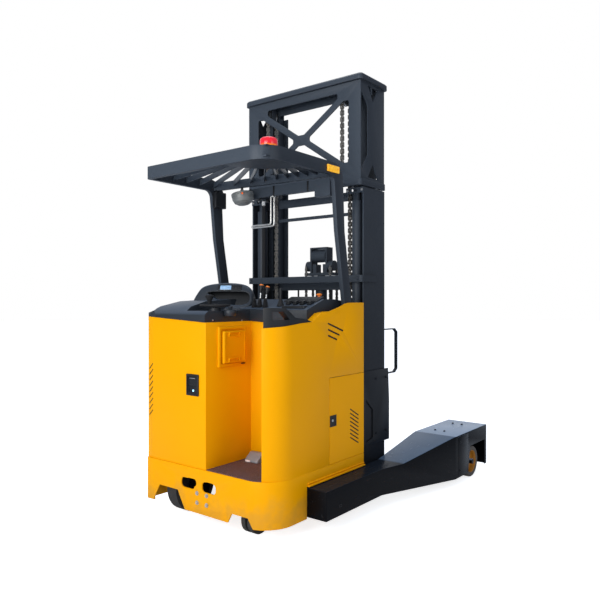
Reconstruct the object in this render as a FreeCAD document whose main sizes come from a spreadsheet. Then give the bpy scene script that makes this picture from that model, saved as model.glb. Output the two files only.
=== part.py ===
"""Stand-on reach truck with a three-stage mast, as a parametric document.

The truck's own frame: +X points along the forks, +Y to its left, +Z up.  Every sub-part is drawn
with X counted from the hood's rear face and is then placed so that the origin lies on the ground,
midway along and across the truck.  All sizes are in millimetres.
"""
import FreeCAD, Part
import math
import os
import Sketcher
from FreeCAD import Placement, Rotation, Vector

os.makedirs("parts", exist_ok=True)
doc = FreeCAD.newDocument("ReachTruck")

# ---------------------------------------------------------------------------------------------
# Driving dimensions
# ---------------------------------------------------------------------------------------------
SIZES = {
    # body
    "body_front": 985, "body_width": 1092, "floor_height": 364, "floor_plate": 12,
    "skirt_bottom": 85, "skirt_step": 6, "skirt_wall": 8, "front_wall": 12,
    "corner_radius": 195, "corner_chamfer": 62, "ledge_height": 281, "beam_bottom": 104,
    "hood_wall": 6, "hood_top": 1285, "hood_tilt": 54, "panel_top": 1407, "panel_skin": 6,
    "bay_left": -10, "bay_depth": 415, "side_depth": 56, "mouth_depth": 97, "column_wall": 45,
    "door_rear": 574, "door_top": 922, "door_gap": 3, "hinge_inset": 10, "hinge_pin": 5,
    "hinge_knuckle": 13, "hinge_height": 24, "bolt_radius": 6, "tow_height": 271, "arch_height": 200,
    # console and controls
    "console_top": 1425, "console_rise": 5, "steer_recess": 190, "steer_x": 150, "steer_y": 62,
    "steer_disc_height": 1382, "steer_disc_radius": 100, "steer_disc_thick": 16,
    "steer_shaft": 12, "binnacle_left": 500, "binnacle_right": 140, "binnacle_rear": 425,
    "binnacle_front": 700, "binnacle_height": 118, "rest_right": -470, "rest_left": -170,
    "stop_x": 660, "stop_y": -400, "lever_radius": 10, "lever_height": 90,
    # legs and wheels
    "leg_rear": 336, "leg_inner": 534, "leg_outer": 692, "leg_outer_tip": 875, "leg_top": 275,
    "leg_bottom": 96, "leg_box_top": 383, "leg_box_bottom": 57, "leg_box_rear": 1772,
    "leg_ramp_start": 1188, "leg_flare_start": 987, "leg_tip": 2388, "track_depth": 40,
    "track_low": 115, "track_high": 205, "track_rear": 1006, "track_front": 1965,
    "load_wheel_x": 2125, "load_wheel_radius": 123, "load_wheel_width": 100,
    "load_wheel_centre": 805, "load_axle_radius": 20, "house_wall": 12, "house_height": 326,
    "drive_wheel_x": 200, "drive_wheel_y": 345, "drive_wheel_radius": 170,
    "drive_wheel_width": 90, "turntable_radius": 150, "castor_x": 200, "castor_y": -290,
    "castor_trail": 46, "castor_wheel_radius": 88, "castor_wheel_width": 32,
    "castor_wheel_spacing": 50,
    # overhead guard
    "guard_rear": -30, "guard_top": 2320, "guard_skew": 82, "guard_rim": 82,
    "guard_rim_wall": 30, "guard_corner": 150, "guard_plate_radius": 400, "pillar_foot_x": 787,
    "pillar_width": 83, "pillar_head_x": 636, "pillar_knee_x": 674, "pillar_knee": 1880,
    "pillar_foot_height": 1250, "rim_bend": 110, "slat_count": 14, "slat_height": 38,
    "slat_thick": 7, "trunk_low": 2156, "trunk_high": 2224, "trunk_depth": 36, "trunk_end": 215,
    "beacon_x": 130, "beacon_y": -415, "beacon_radius": 56, "beacon_height": 74,
    "lamp_y": 188, "lamp_low": 2099, "lamp_radius": 94, "handle_y": -9, "handle_reach": 196,
    "handle_low": 1947, "handle_tube": 12,
    # mast
    "mast_half_width": 526, "mast_rear": 1018, "mast_front": 1301, "mast_web": 12,
    "flange_rear": 1130, "flange_depth": 46, "flange_thick": 12, "mast_bottom": 95,
    "outer_top": 2220, "stage_step": 56, "stage_inset": 14, "cross_bar": 8, "roller_gap": 0.3,
    "tie_bar_low": 1552, "tie_bar_high": 1600, "tie_bar_thick": 20, "tie_bar_front": 1165,
    "frame_bottom": 2229, "frame_top": 3006, "frame_rear": 977, "frame_plate": 10,
    "ledge_plate": 44, "cap_plate": 44, "cap_overhang": 22, "ledge_overhang": 10,
    "chain_y": 350, "chain_width": 20, "chain_thick": 8, "chain_low": 900, "sheave_x": 1058,
    "sheave_height": 2868, "sheave_radius": 46, "sheave_pin": 9, "cylinder_x": 1056,
    "cylinder_y": 450, "cylinder_radius": 40, "cylinder_top": 2130, "rod_radius": 25,
    "rod_low": 560, "free_cylinder_x": 1236, "free_cylinder": 45, "free_rod": 30,
    "free_cylinder_top": 1600, "free_head_top": 1833, "free_sheave": 40, "free_chain_y": 115,
    "free_chain_width": 16, "carriage_plate_top": 923, "carriage_plate_low": 416,
    "carriage_plate_rear": 1000, "carriage_plate_front": 1352, "carriage_plate_thick": 8,
    "carriage_foot": 75, "track_roller": 42, "track_axle": 160, "reach_height": 230,
    "reach_rod": 20, "reach_barrel": 36, "hoop_low": 878, "hoop_high": 1212, "hoop_reach": 196,
    # carriage and forks
    "carriage_half_width": 300, "carriage_front": 1322, "carriage_top": 560, "carriage_low": 115,
    "shift_thick": 26, "fork_bar_rear": 1372, "fork_bar_front": 1404, "tilt_pin_height": 480,
    "tilt_pin": 12, "tilt_pin_inset": 8, "fork_shank": 40, "fork_length": 1070,
    "fork_width": 110, "fork_thick": 40, "fork_spread": 230, "fork_underside": 60,
    "backrest_top": 1150, "backrest_half_width": 380,
    # fits
    "seat_gap": 0.3, "shaft_gap": 0.05,
}


class Size:
    """A length known both by its value and by the formula that reads it from the sheet."""

    def __init__(self, value, text):
        self.value, self.text = value, text

    def _join(self, other, sign, flip=False):
        other = size(other)
        left, right = (other, self) if flip else (self, other)
        value = {"+": lambda a, b: a + b, "-": lambda a, b: a - b,
                 "*": lambda a, b: a * b, "/": lambda a, b: a / b}[sign](left.value, right.value)
        return Size(value, "(%s %s %s)" % (left.text, sign, right.text))

    def __add__(self, other): return self._join(other, "+")
    def __radd__(self, other): return self._join(other, "+", True)
    def __sub__(self, other): return self._join(other, "-")
    def __rsub__(self, other): return self._join(other, "-", True)
    def __mul__(self, other): return self._join(other, "*")
    def __rmul__(self, other): return self._join(other, "*", True)
    def __truediv__(self, other): return self._join(other, "/")
    def __neg__(self): return size(0) - self
    def __float__(self): return float(self.value)


def size(value):
    return value if isinstance(value, Size) else Size(float(value), repr(float(value)))


sheet = doc.addObject("Spreadsheet::Sheet", "Dims")
for row, (alias, number) in enumerate(SIZES.items(), 1):
    sheet.set("A%d" % row, alias)
    sheet.set("B%d" % row, str(number))
    sheet.setAlias("B%d" % row, alias)
doc.recompute()


class Dims:
    def __getattr__(self, name):
        return Size(float(SIZES[name]), "Dims." + name)


D = Dims()
HALF = D.body_width / 2
GUARD_HALF = HALF - D.panel_skin
BAY_RIGHT = D.side_depth - HALF
MOUTH_RIGHT = D.mouth_depth - HALF
FORK_TIP = D.fork_bar_front + D.fork_shank + D.fork_length
SHIFT_REAR = D.carriage_front + D.seat_gap
CONSOLE_DECK = D.console_top + D.console_rise
CONSOLE_SEAT = CONSOLE_DECK + D.seat_gap
RECESS_DEPTH = D.hood_tilt + 16
TILT_PIN_X = D.fork_bar_rear + D.tilt_pin_inset
SHIFT_FRONT = SHIFT_REAR + D.shift_thick
ORIGIN_X = (FORK_TIP - D.skirt_step) / 2
BACKREST_BARS = 7
BIG = 4000
CLEAR = 20
PIECES = {}


# ---------------------------------------------------------------------------------------------
# Drawing helpers
# ---------------------------------------------------------------------------------------------
def bind(obj, prop, value):
    """Set a property from a size and keep it bound to the sheet."""
    value = size(value)
    if "Dims." in value.text:
        obj.setExpression(prop, value.text)
    elif "." in prop:
        obj.setExpression(prop, value.text)
    else:
        setattr(obj, prop, value.value)
    return obj


def place(obj, **ends):
    """Bind the coordinates at which an object stands."""
    for key, value in ends.items():
        bind(obj, "Placement.Base." + key, value)
    return obj


def across(side, *pair):
    """A pair of distances from the middle, on one side of the truck, in rising order."""
    return sorted((side * pair[0], side * pair[1]), key=float)


def keep(label, obj):
    """Register a finished sub-part under the name of its file."""
    if obj.TypeId in ("Part::Box", "Part::Cylinder"):
        obj = group(obj)
    obj.Label = label
    bind(obj, "Placement.Base.x", -ORIGIN_X)
    PIECES[label] = obj
    return obj


def new_body(name):
    body = doc.addObject("PartDesign::Body", name + "_body")
    if hasattr(body, "AllowCompound"):
        body.AllowCompound = True
    return body


def plane_of(body, role):
    return [feature for feature in body.Origin.OriginFeatures if feature.Role == role][0]


def new_sketch(body, plane, at=0):
    """A sketch on one of the body's own planes, moved along the plane's normal."""
    sketch = body.newObject("Sketcher::SketchObject", "Sketch")
    sketch.AttachmentSupport = [(plane_of(body, plane + "_Plane"), "")]
    sketch.MapMode = "FlatFace"
    bind(sketch, "AttachmentOffset.Base.z", at)
    return sketch


def fix_point(sketch, geometry, position, x, y):
    """Hold one point of the sketch at a place that comes from the sheet."""
    for kind, value in (("DistanceX", size(x)), ("DistanceY", size(y))):
        index = sketch.addConstraint(
            Sketcher.Constraint(kind, -1, 1, geometry, position, value.value))
        if "Dims." in value.text:
            sketch.setExpression("Constraints[%d]" % index, value.text)


def polygon(sketch, points):
    """A closed outline through the points."""
    corners = [Vector(float(x), float(y), 0) for x, y in points]
    first = sketch.GeometryCount
    count = len(corners)
    for k in range(count):
        sketch.addGeometry(Part.LineSegment(corners[k], corners[(k + 1) % count]), False)
    for k in range(count):
        sketch.addConstraint(Sketcher.Constraint(
            "Coincident", first + k, 2, first + (k + 1) % count, 1))
        fix_point(sketch, first + k, 1, *points[k])


def rectangle(sketch, x0, x1, y0, y1):
    polygon(sketch, [(x0, y0), (x1, y0), (x1, y1), (x0, y1)])


def circle(sketch, x, y, radius):
    radius = size(radius)
    index = sketch.addGeometry(
        Part.Circle(Vector(float(x), float(y), 0), Vector(0, 0, 1), radius.value), False)
    number = sketch.addConstraint(Sketcher.Constraint("Radius", index, radius.value))
    if "Dims." in radius.text:
        sketch.setExpression("Constraints[%d]" % number, radius.text)
    fix_point(sketch, index, 3, x, y)


def slot(sketch, x, y, half_length, radius, angle=0.0):
    """A round-ended slot centred at x, y and lying at the angle."""
    turn = math.radians(angle)
    dx, dy = half_length * math.cos(turn), half_length * math.sin(turn)
    nx, ny = -math.sin(turn), math.cos(turn)
    cx, cy = float(x), float(y)
    ends = [(cx - dx, cy - dy), (cx + dx, cy + dy)]
    base = Vector(0, 0, 1)
    first = sketch.GeometryCount
    low = [Vector(ex - nx * radius, ey - ny * radius, 0) for ex, ey in ends]
    high = [Vector(ex + nx * radius, ey + ny * radius, 0) for ex, ey in ends]
    sketch.addGeometry(Part.LineSegment(low[0], low[1]), False)
    sketch.addGeometry(Part.ArcOfCircle(
        Part.Circle(Vector(ends[1][0], ends[1][1], 0), base, radius),
        turn - math.pi / 2, turn + math.pi / 2), False)
    sketch.addGeometry(Part.LineSegment(high[1], high[0]), False)
    sketch.addGeometry(Part.ArcOfCircle(
        Part.Circle(Vector(ends[0][0], ends[0][1], 0), base, radius),
        turn + math.pi / 2, turn + 3 * math.pi / 2), False)
    for a, pa, b, pb in ((0, 2, 1, 1), (1, 2, 2, 1), (2, 2, 3, 1), (3, 2, 0, 1)):
        sketch.addConstraint(Sketcher.Constraint("Tangent", first + a, pa, first + b, pb))
    sketch.addConstraint(Sketcher.Constraint("Radius", first + 1, radius))
    fix_point(sketch, first + 1, 3, size(x) + dx, size(y) + dy)
    fix_point(sketch, first + 3, 3, size(x) - dx, size(y) - dy)


def pad(body, sketch, length, symmetric=False, back=False):
    """Pull the sketch out along its normal, or against it when back is set."""
    feature = body.newObject("PartDesign::Pad", "Pad")
    feature.Profile = sketch
    bind(feature, "Length", length)
    feature.Midplane = symmetric
    feature.Reversed = back
    body.Tip = feature
    doc.recompute()
    return feature


def pocket(body, sketch, length, along=False, symmetric=False):
    """Cut the sketch away against its normal, or along it when asked; it must remove something."""
    before = body.Shape.Volume
    feature = body.newObject("PartDesign::Pocket", "Pocket")
    feature.Profile = sketch
    bind(feature, "Length", length)
    feature.Midplane = symmetric
    feature.Reversed = along
    body.Tip = feature
    doc.recompute()
    if not body.Shape.Volume < before - 1:
        raise RuntimeError("a pocket of %s cuts nothing" % body.Name)
    return feature


def matching_edges(shape, tests):
    """Names of the straight or curved edges whose middle passes any of the tests."""
    names = []
    for number, edge in enumerate(shape.Edges, 1):
        middle = edge.valueAt((edge.FirstParameter + edge.LastParameter) / 2)
        if any(test(edge, middle) for test in tests):
            names.append("Edge%d" % number)
    return names


def lies_along(direction, **place):
    """Test for a straight edge parallel to an axis through the given coordinates."""
    axis = {"x": Vector(1, 0, 0), "y": Vector(0, 1, 0), "z": Vector(0, 0, 1)}[direction]

    def test(edge, middle):
        if not isinstance(edge.Curve, Part.Line):
            return False
        if abs(abs(edge.tangentAt(edge.FirstParameter).dot(axis)) - 1) > 1e-6:
            return False
        return all(abs(getattr(middle, key) - float(value)) < 0.5 for key, value in place.items())
    return test


def dress(body, kind, amount, *tests):
    """A fillet or chamfer on the edges of the body's tip that pass the tests."""
    base = body.Tip
    names = matching_edges(base.Shape, tests)
    if not names:
        raise RuntimeError("no edge to %s on %s" % (kind, body.Name))
    feature = body.newObject("PartDesign::" + kind, kind)
    feature.Base = (base, names)
    bind(feature, "Radius" if kind == "Fillet" else "Size", amount)
    body.Tip = feature
    doc.recompute()
    return feature


def box(x, y, z):
    """A block between pairs of coordinates."""
    block = doc.addObject("Part::Box", "Block")
    for prop, place, pair in (("Length", "x", x), ("Width", "y", y), ("Height", "z", z)):
        low, high = size(pair[0]), size(pair[1])
        bind(block, prop, high - low)
        bind(block, "Placement.Base." + place, low)
    return block


AXIS_TURN = {"z": Rotation(), "x": Rotation(Vector(0, 1, 0), 90),
             "y": Rotation(Vector(1, 0, 0), -90)}


def rod(axis, radius, start, length, x=0, y=0, z=0):
    """A cylinder along an axis, from start, at the two other coordinates."""
    cylinder = doc.addObject("Part::Cylinder", "Rod")
    bind(cylinder, "Radius", radius)
    bind(cylinder, "Height", length)
    cylinder.Placement = Placement(Vector(), AXIS_TURN[axis])
    for name, value in (("x", x), ("y", y), ("z", z)):
        bind(cylinder, "Placement.Base." + name, start if name == axis else value)
    return cylinder


def fuse(*shapes):
    joined = doc.addObject("Part::MultiFuse", "Joined")
    joined.Shapes = list(shapes)
    return joined


def group(*shapes):
    together = doc.addObject("Part::Compound", "Group")
    together.Links = list(shapes)
    return together


def cut(base, tool):
    result = doc.addObject("Part::Cut", "Cut")
    result.Base, result.Tool = base, tool
    return result


def plate(name, plane, at, thickness, points, holes=(), back=False):
    """A flat plate with polygonal cut-outs, as a body."""
    body = new_body(name)
    sketch = new_sketch(body, plane, at)
    polygon(sketch, points)
    for hole in holes:
        polygon(sketch, hole)
    pad(body, sketch, thickness, back=back)
    return body


def turned(name, points, plane="XZ", axis="V_Axis"):
    """A solid of revolution from a half profile."""
    body = new_body(name)
    sketch = new_sketch(body, plane)
    polygon(sketch, points)
    feature = body.newObject("PartDesign::Revolution", "Revolution")
    feature.Profile = sketch
    feature.ReferenceAxis = (sketch, [axis])
    feature.Angle = 360
    body.Tip = feature
    doc.recompute()
    return body


# ---------------------------------------------------------------------------------------------
# Chassis
# ---------------------------------------------------------------------------------------------
def chassis_frame():
    """Welded tub: bumper skirt, floor plate, leg seats and the front cross plate."""
    body = new_body("chassis_frame")
    rear, wall, cham = -D.skirt_step, D.skirt_wall, D.corner_chamfer
    under_floor = D.floor_height - D.floor_plate
    outline = new_sketch(body, "XY", D.skirt_bottom)
    rectangle(outline, rear, D.body_front, -HALF, HALF)
    pad(body, outline, D.floor_height - D.skirt_bottom)
    hollow = new_sketch(body, "XY", D.skirt_bottom)
    front = D.body_front - D.front_wall
    polygon(hollow, [(rear + wall, -HALF + wall), (front, -HALF + wall), (front, HALF - wall),
                     (rear + cham + wall / 2, HALF - wall), (rear + wall, HALF - cham - wall / 2)])
    pocket(body, hollow, under_floor - D.skirt_bottom, along=True)
    dress(body, "Fillet", D.corner_radius - wall,
          lies_along("z", x=rear + wall, y=-HALF + wall))
    dress(body, "Fillet", D.corner_radius, lies_along("z", x=rear, y=-HALF))
    dress(body, "Chamfer", cham, lies_along("z", x=rear, y=HALF))

    seats = new_sketch(body, "XY", D.skirt_bottom)
    for side in (-1, 1):
        rectangle(seats, D.leg_rear, D.body_front + CLEAR, *across(side, D.leg_inner, HALF + CLEAR))
    pocket(body, seats, D.ledge_height - D.skirt_bottom, along=True)

    arches = new_sketch(body, "YZ", rear - CLEAR)
    low = D.skirt_bottom - CLEAR
    for centre, half, slope, high in (
            (D.drive_wheel_y - 10, D.drive_wheel_radius, 80, D.arch_height),
            (D.castor_y - 15, 1.25 * D.castor_wheel_radius, 45, D.arch_height - 55)):
        polygon(arches, [(centre - half, low), (centre + half, low),
                         (centre + half - slope, high), (centre - half + slope, high)])
    pocket(body, arches, 3 * CLEAR, along=True)

    holes = new_sketch(body, "YZ", rear - CLEAR)
    for y in (-47, 115):
        slot(holes, y, D.tow_height, 22, 24)
    for y in (-25, 61):
        for z in (D.tow_height - 119, D.tow_height - 60):
            circle(holes, y, z, D.bolt_radius)
    pocket(body, holes, CLEAR + 2 * wall, along=True)
    ring = new_sketch(body, "XY", under_floor - CLEAR)
    circle(ring, D.drive_wheel_x, D.drive_wheel_y, 0.9 * D.turntable_radius)
    pocket(body, ring, D.floor_plate + 2 * CLEAR, along=True)

    beams = new_sketch(body, "XY", D.beam_bottom)
    for side in (-1, 1):
        rectangle(beams, D.leg_rear, D.body_front,
                  *across(side, D.leg_inner - D.front_wall, D.leg_inner))
    pad(body, beams, under_floor - D.beam_bottom)
    port = new_sketch(body, "YZ", D.body_front + CLEAR)
    circle(port, 0, D.reach_height, D.reach_rod + D.seat_gap)
    pocket(body, port, CLEAR + 1.5 * D.front_wall)
    pin = new_sketch(body, "XY", D.floor_height)
    circle(pin, D.body_front - D.hinge_inset, D.hinge_knuckle - HALF, D.hinge_pin)
    pad(body, pin, D.hinge_height + 6)
    return keep("chassis_frame", body)


def floor_mat():
    """Rubber mat of the standing bay, cut round the foot of the column."""
    mouth, right, bend = MOUTH_RIGHT + 4, BAY_RIGHT + 3, D.corner_radius
    body = plate("floor_mat", "XY", D.floor_height, 5,
                 [(4, mouth + 45), (4, D.bay_left - 3), (D.bay_depth - 3, D.bay_left - 3),
                  (D.bay_depth - 3, right), (bend, right), (bend * 0.85 - 22, right + 8),
                  (bend * 0.72 - 22, right + 22), (bend * 0.5 + 1, mouth), (26, mouth)])
    return keep("floor_mat", body)


def lip(y):
    """Height of the joint between hood and console, which slopes down to the truck's right."""
    return D.hood_top + y * D.hood_tilt / 1000


def above_lip(body, right, below=False):
    """Cut a body off along the sloping joint, keeping what lies under it or over it."""
    far = D.floor_height if below else D.console_top + D.floor_height
    ends = (right - CLEAR, HALF + CLEAR)
    sketch = new_sketch(body, "YZ", -3 * CLEAR)
    polygon(sketch, [(y, lip(y)) for y in ends] + [(y, far) for y in ends[::-1]])
    pocket(body, sketch, D.body_front + 6 * CLEAR, along=True)


def hood_shell():
    """Steel cover over the drive unit and around the battery, open at the top."""
    body = new_body("hood_shell")
    wall = D.hood_wall
    outline = new_sketch(body, "XY", D.floor_height)
    polygon(outline, [(0, D.bay_left), (D.bay_depth, D.bay_left), (D.bay_depth, BAY_RIGHT),
                      (D.body_front, BAY_RIGHT), (D.body_front, HALF),
                      (D.corner_chamfer, HALF), (0, HALF - D.corner_chamfer)])
    rise = D.hood_top - D.floor_height + D.hood_tilt + wall
    pad(body, outline, rise)
    hollow = new_sketch(body, "XY", D.floor_height)
    cham = D.corner_chamfer
    polygon(hollow, [(wall, D.bay_left + wall), (D.bay_depth + wall, D.bay_left + wall),
                     (D.bay_depth + wall, BAY_RIGHT + wall),
                     (D.body_front - wall, BAY_RIGHT + wall),
                     (D.body_front - wall, HALF - wall), (cham + wall / 2, HALF - wall),
                     (wall, HALF - cham - wall / 2)])
    pocket(body, hollow, rise, along=True)
    opening = new_sketch(body, "XZ", -BAY_RIGHT - 2 * wall)
    rectangle(opening, D.door_rear, D.body_front - 2 * wall, D.floor_height, D.door_top)
    pocket(body, opening, 3 * wall, along=True)
    above_lip(body, -HALF)
    return keep("hood_shell", body)


# Side view of the panel's upper edge: distance from the rear and drop below the highest point.
CREST = [(-20, 190), (0, 182), (14, 158), (40, 146), (130, 138), (270, 124), (392, 118),
         (440, 92), (485, 66), (575, 55), (680, 30), (755, 6), (800, 0)]
# Slanting vents below it: distance from the rear, drop, half length.
VENTS = [(646, 159, 88), (626, 192, 66), (611, 225, 50)]


def column_band(body, inset, low, high):
    """Plan of the column and side panel: a band that turns the rear corner."""
    outline = new_sketch(body, "XY", low)
    bend = -HALF + D.corner_radius + CLEAR
    rectangle(outline, inset, D.body_front, -HALF + inset, bend)
    pad(body, outline, high - low)
    inside = new_sketch(body, "XY", low)
    top, front = bend + CLEAR, D.body_front + CLEAR
    skin = -HALF + D.panel_skin
    polygon(inside, [(D.column_wall - inset, BAY_RIGHT - inset), (D.door_rear, BAY_RIGHT - inset),
                     (D.door_rear, skin), (front, skin), (front, top),
                     (D.column_wall - inset, top)])
    pocket(body, inside, high - low, along=True)
    dress(body, "Fillet", D.corner_radius - D.column_wall,
          lies_along("z", x=D.column_wall - inset, y=BAY_RIGHT - inset))
    dress(body, "Fillet", D.corner_radius - inset, lies_along("z", x=inset, y=-HALF + inset))
    mouth = new_sketch(body, "XY", low)
    rectangle(mouth, -CLEAR, D.corner_radius, MOUTH_RIGHT - inset, top)
    pocket(body, mouth, high - low, along=True)


def right_panel():
    """Column beside the operator's step with the side panel that runs on from it."""
    body = new_body("right_panel")
    skin = -HALF + D.panel_skin
    rise = D.panel_top
    column_band(body, 0, D.floor_height, rise)
    crest = new_sketch(body, "XZ", HALF - 2 * D.corner_radius)
    front, above = D.body_front + CLEAR, rise + 3 * CLEAR
    polygon(crest, [(x, rise - drop) for x, drop in CREST]
            + [(front, rise), (front, above), (-CLEAR, above)])
    pocket(body, crest, HALF, along=True)

    seam = D.door_top + D.door_gap
    opening = new_sketch(body, "XZ", HALF - 2 * D.panel_skin)
    rectangle(opening, D.door_rear - D.door_gap, front, D.floor_height - CLEAR, seam)
    pocket(body, opening, 5 * D.panel_skin, along=True)
    vents = new_sketch(body, "XZ", HALF - D.side_depth)
    for x, drop, half_length in VENTS:
        slot(vents, x, rise - drop, half_length, 6, -17.5)
    pocket(body, vents, 2 * D.side_depth, along=True)

    boss = new_sketch(body, "XY", seam)
    hinge = D.body_front - D.hinge_inset
    rectangle(boss, hinge - D.hinge_knuckle, D.body_front, skin, skin + CLEAR)
    pad(body, boss, D.hinge_height)
    pin = new_sketch(body, "XY", seam)
    circle(pin, hinge, D.hinge_knuckle - HALF, D.hinge_pin)
    pad(body, pin, D.hinge_height + 6, back=True)
    return keep("right_panel", body)


def battery_door():
    """Hinged cover of the battery bay: folded skin, slanted vents, two hinge lugs."""
    body = new_body("battery_door")
    low, face = D.floor_height + D.door_gap, -HALF + D.panel_skin
    skin = new_sketch(body, "XZ", HALF - D.panel_skin)
    rectangle(skin, D.door_rear, D.body_front, low, D.door_top)
    pad(body, skin, D.panel_skin)
    frame = new_sketch(body, "XZ", HALF - D.panel_skin)
    for inset, rim in ((12, 60), (30, 80)):
        rectangle(frame, D.door_rear + inset, D.body_front - rim, low + inset, D.door_top - inset)
    pad(body, frame, 14, back=True)
    vents = new_sketch(body, "XZ", HALF - D.hinge_height)
    for k in range(8):
        x, z = D.body_front - 118, low + 108 + 27 * k
        polygon(vents, [(x - 30, z + 12), (x + 30, z - 20), (x + 30, z - 12), (x - 30, z + 20)])
    pocket(body, vents, 2 * D.hinge_height, along=True)
    hinge = D.body_front - D.hinge_inset
    for foot in (low + 4, D.door_top - D.hinge_height - 4):
        lug = new_sketch(body, "XY", foot)
        rectangle(lug, hinge - D.hinge_knuckle, D.body_front, face, D.hinge_knuckle + 10 - HALF)
        pad(body, lug, D.hinge_height)
    bore = new_sketch(body, "XY", low - CLEAR)
    circle(bore, hinge, D.hinge_knuckle - HALF, D.hinge_pin + D.seat_gap)
    pocket(body, bore, D.door_top, along=True)
    return keep("battery_door", body)


def battery_block():
    return keep("battery_block", box(
        (D.door_rear + 12, D.body_front - 20), (BAY_RIGHT + 12, HALF - 240),
        (D.floor_height, D.door_top - 30)))


def console_cover():
    """Moulded top of the hood with its rear lip and sloping shoulders."""
    body = new_body("console_cover")
    top, low, front = D.console_top, D.hood_top - 2 * CLEAR, D.body_front - 2
    deep = D.steer_recess + 2 * CLEAR
    side = new_sketch(body, "XZ", -HALF + 2)
    polygon(side, [(-6, low), (front, low), (front, top - CLEAR), (700, CONSOLE_DECK),
                   (430, CONSOLE_DECK), (190, top - 8), (60, top - 42), (0, top - 88),
                   (-6, top - 100)])
    pad(body, side, HALF - 4 - BAY_RIGHT)
    well = new_sketch(body, "XY", low - CLEAR)
    rectangle(well, -2 * CLEAR, D.bay_depth - 6, -HALF - CLEAR, D.bay_left + 4)
    pocket(body, well, 2 * deep, along=True)
    shoulder = new_sketch(body, "YZ", -2 * CLEAR)
    edge = HALF + 10
    polygon(shoulder, [(edge, top - 70), (HALF - 120, top + 10), (edge, top + 10)])
    pocket(body, shoulder, D.body_front + 4 * CLEAR, along=True)
    recess = new_sketch(body, "XZ", -D.steer_recess)
    floor, above = top - RECESS_DEPTH, top + 2 * CLEAR
    polygon(recess, [(-CLEAR, floor), (300, floor), (345, above), (-CLEAR, above)])
    pocket(body, recess, 2 * deep, along=True)
    foot, wide = D.pillar_foot_x - D.guard_skew, D.pillar_width
    notch = new_sketch(body, "XY", low - CLEAR)
    rectangle(notch, foot - 34, foot + wide + 10, GUARD_HALF - D.guard_rim_wall - 3, edge)
    pocket(body, notch, 2 * deep, along=True)
    corner = new_sketch(body, "XY", low - CLEAR)
    run = D.corner_chamfer + 32
    polygon(corner, [(-30, edge), (-30, HALF - run - 6), (run, edge)])
    pocket(body, corner, 2 * deep, along=True)
    above_lip(body, BAY_RIGHT, below=True)
    sill = new_sketch(body, "XY", D.hood_top + CLEAR)
    near, far, skin = D.door_rear + 3, D.body_front - 4, -HALF + D.panel_skin + 1
    foot, inner = D.pillar_foot_x, -GUARD_HALF + D.guard_rim_wall + 4
    polygon(sill, [(near, skin), (foot - 50, skin), (foot - 50, inner), (foot + wide + 12, inner),
                   (foot + wide + 12, skin), (far, skin), (far, BAY_RIGHT + 6),
                   (near, BAY_RIGHT + 6)])
    pad(body, sill, 2 * CLEAR)
    return keep("console_cover", body)


def dash_binnacle():
    """Instrument pod: a domed cowl whose face opens towards the operator."""
    body = new_body("dash_binnacle")
    seat, crown = CONSOLE_SEAT, D.console_top + D.binnacle_height
    rear, front = D.binnacle_rear, D.binnacle_front
    left, right = D.binnacle_left, D.binnacle_right
    side = new_sketch(body, "XZ", -left)
    polygon(side, [(rear, seat), (front, seat), (front, crown - 60), (front - 60, crown - 12),
                   (front - 140, crown), (front - 180, crown - 8), (rear + 25, crown - 62)])
    pad(body, side, left - right)
    shoulders = new_sketch(body, "YZ", rear - CLEAR)
    for near, inward in ((left, -1), (right, 1)):
        far, middle = near - inward * 25, near + inward * 110
        polygon(shoulders, [(far, seat + 6), (near + inward * 8, seat + 34),
                            (near + inward * 44, crown - 34), (middle, crown + 2),
                            (middle, crown + 20), (far, crown + 20)])
    pocket(body, shoulders, front - rear + 2 * CLEAR, along=True)
    well = new_sketch(body, "YZ", rear - 5)
    low, high = seat + 14, crown - 52
    polygon(well, [(right + 65, low), (left - 65, low), (left - 77, high), (right + 77, high)])
    pocket(body, well, 78, along=True)
    return keep("dash_binnacle", body)


def control_console():
    """Armrest with its switch row and the emergency stop."""
    rear, front = D.binnacle_rear + 5, D.binnacle_front
    rest = plate("armrest", "XZ", -D.rest_left, D.rest_left - D.rest_right,
                 [(rear, CONSOLE_SEAT), (front, CONSOLE_SEAT), (front, CONSOLE_SEAT + CLEAR),
                  (rear, CONSOLE_SEAT + 5)])
    stop = rod("z", 24, CONSOLE_SEAT + 10, 2 * CLEAR, x=D.stop_x, y=D.stop_y)
    return keep("control_armrest", fuse(rest, stop))


def control_levers():
    """Three lift levers standing in bellows boots."""
    pieces = []
    fold = 11
    for x, y in ((470, 70), (490, 0), (520, -90)):
        folds = []
        for number in range(4):
            half, foot = 30 - 5 * number, CONSOLE_SEAT + fold * number
            folds.append(box((x - half, x + half), (y - half, y + half), (foot, foot + fold)))
        stem = rod("z", D.lever_radius, CONSOLE_SEAT + 2 * CLEAR, D.lever_height, x=x, y=y)
        pieces.append(fuse(*folds, stem))
    return keep("control_levers", group(*pieces))


def grab_handle():
    """Moulded grip on top of the column, with its D opening."""
    band = new_body("grab_band")
    rise = D.panel_top
    column_band(band, 5, rise - 200, rise)
    side = new_body("grab_side")
    sketch = new_sketch(side, "XZ", HALF - 2 * D.corner_radius)
    seat = [(x, rise - drop + D.seat_gap) for x, drop in CREST[1:7]]
    polygon(sketch, seat + [(330, rise - 98), (232, rise - 88), (142, rise - 30),
                            (40, rise - 28), (2, rise - 52)])
    polygon(sketch, [(72, rise - 52), (132, rise - 50), (180, rise - 100), (72, rise - 102)])
    pad(side, sketch, HALF)
    grip = doc.addObject("Part::Common", "Grip")
    grip.Base, grip.Tool = band, side
    return keep("grab_handle", grip)


def charge_port():
    return keep("charge_port", box((-5, 0), (50, 160), (820, 955)))


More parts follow.
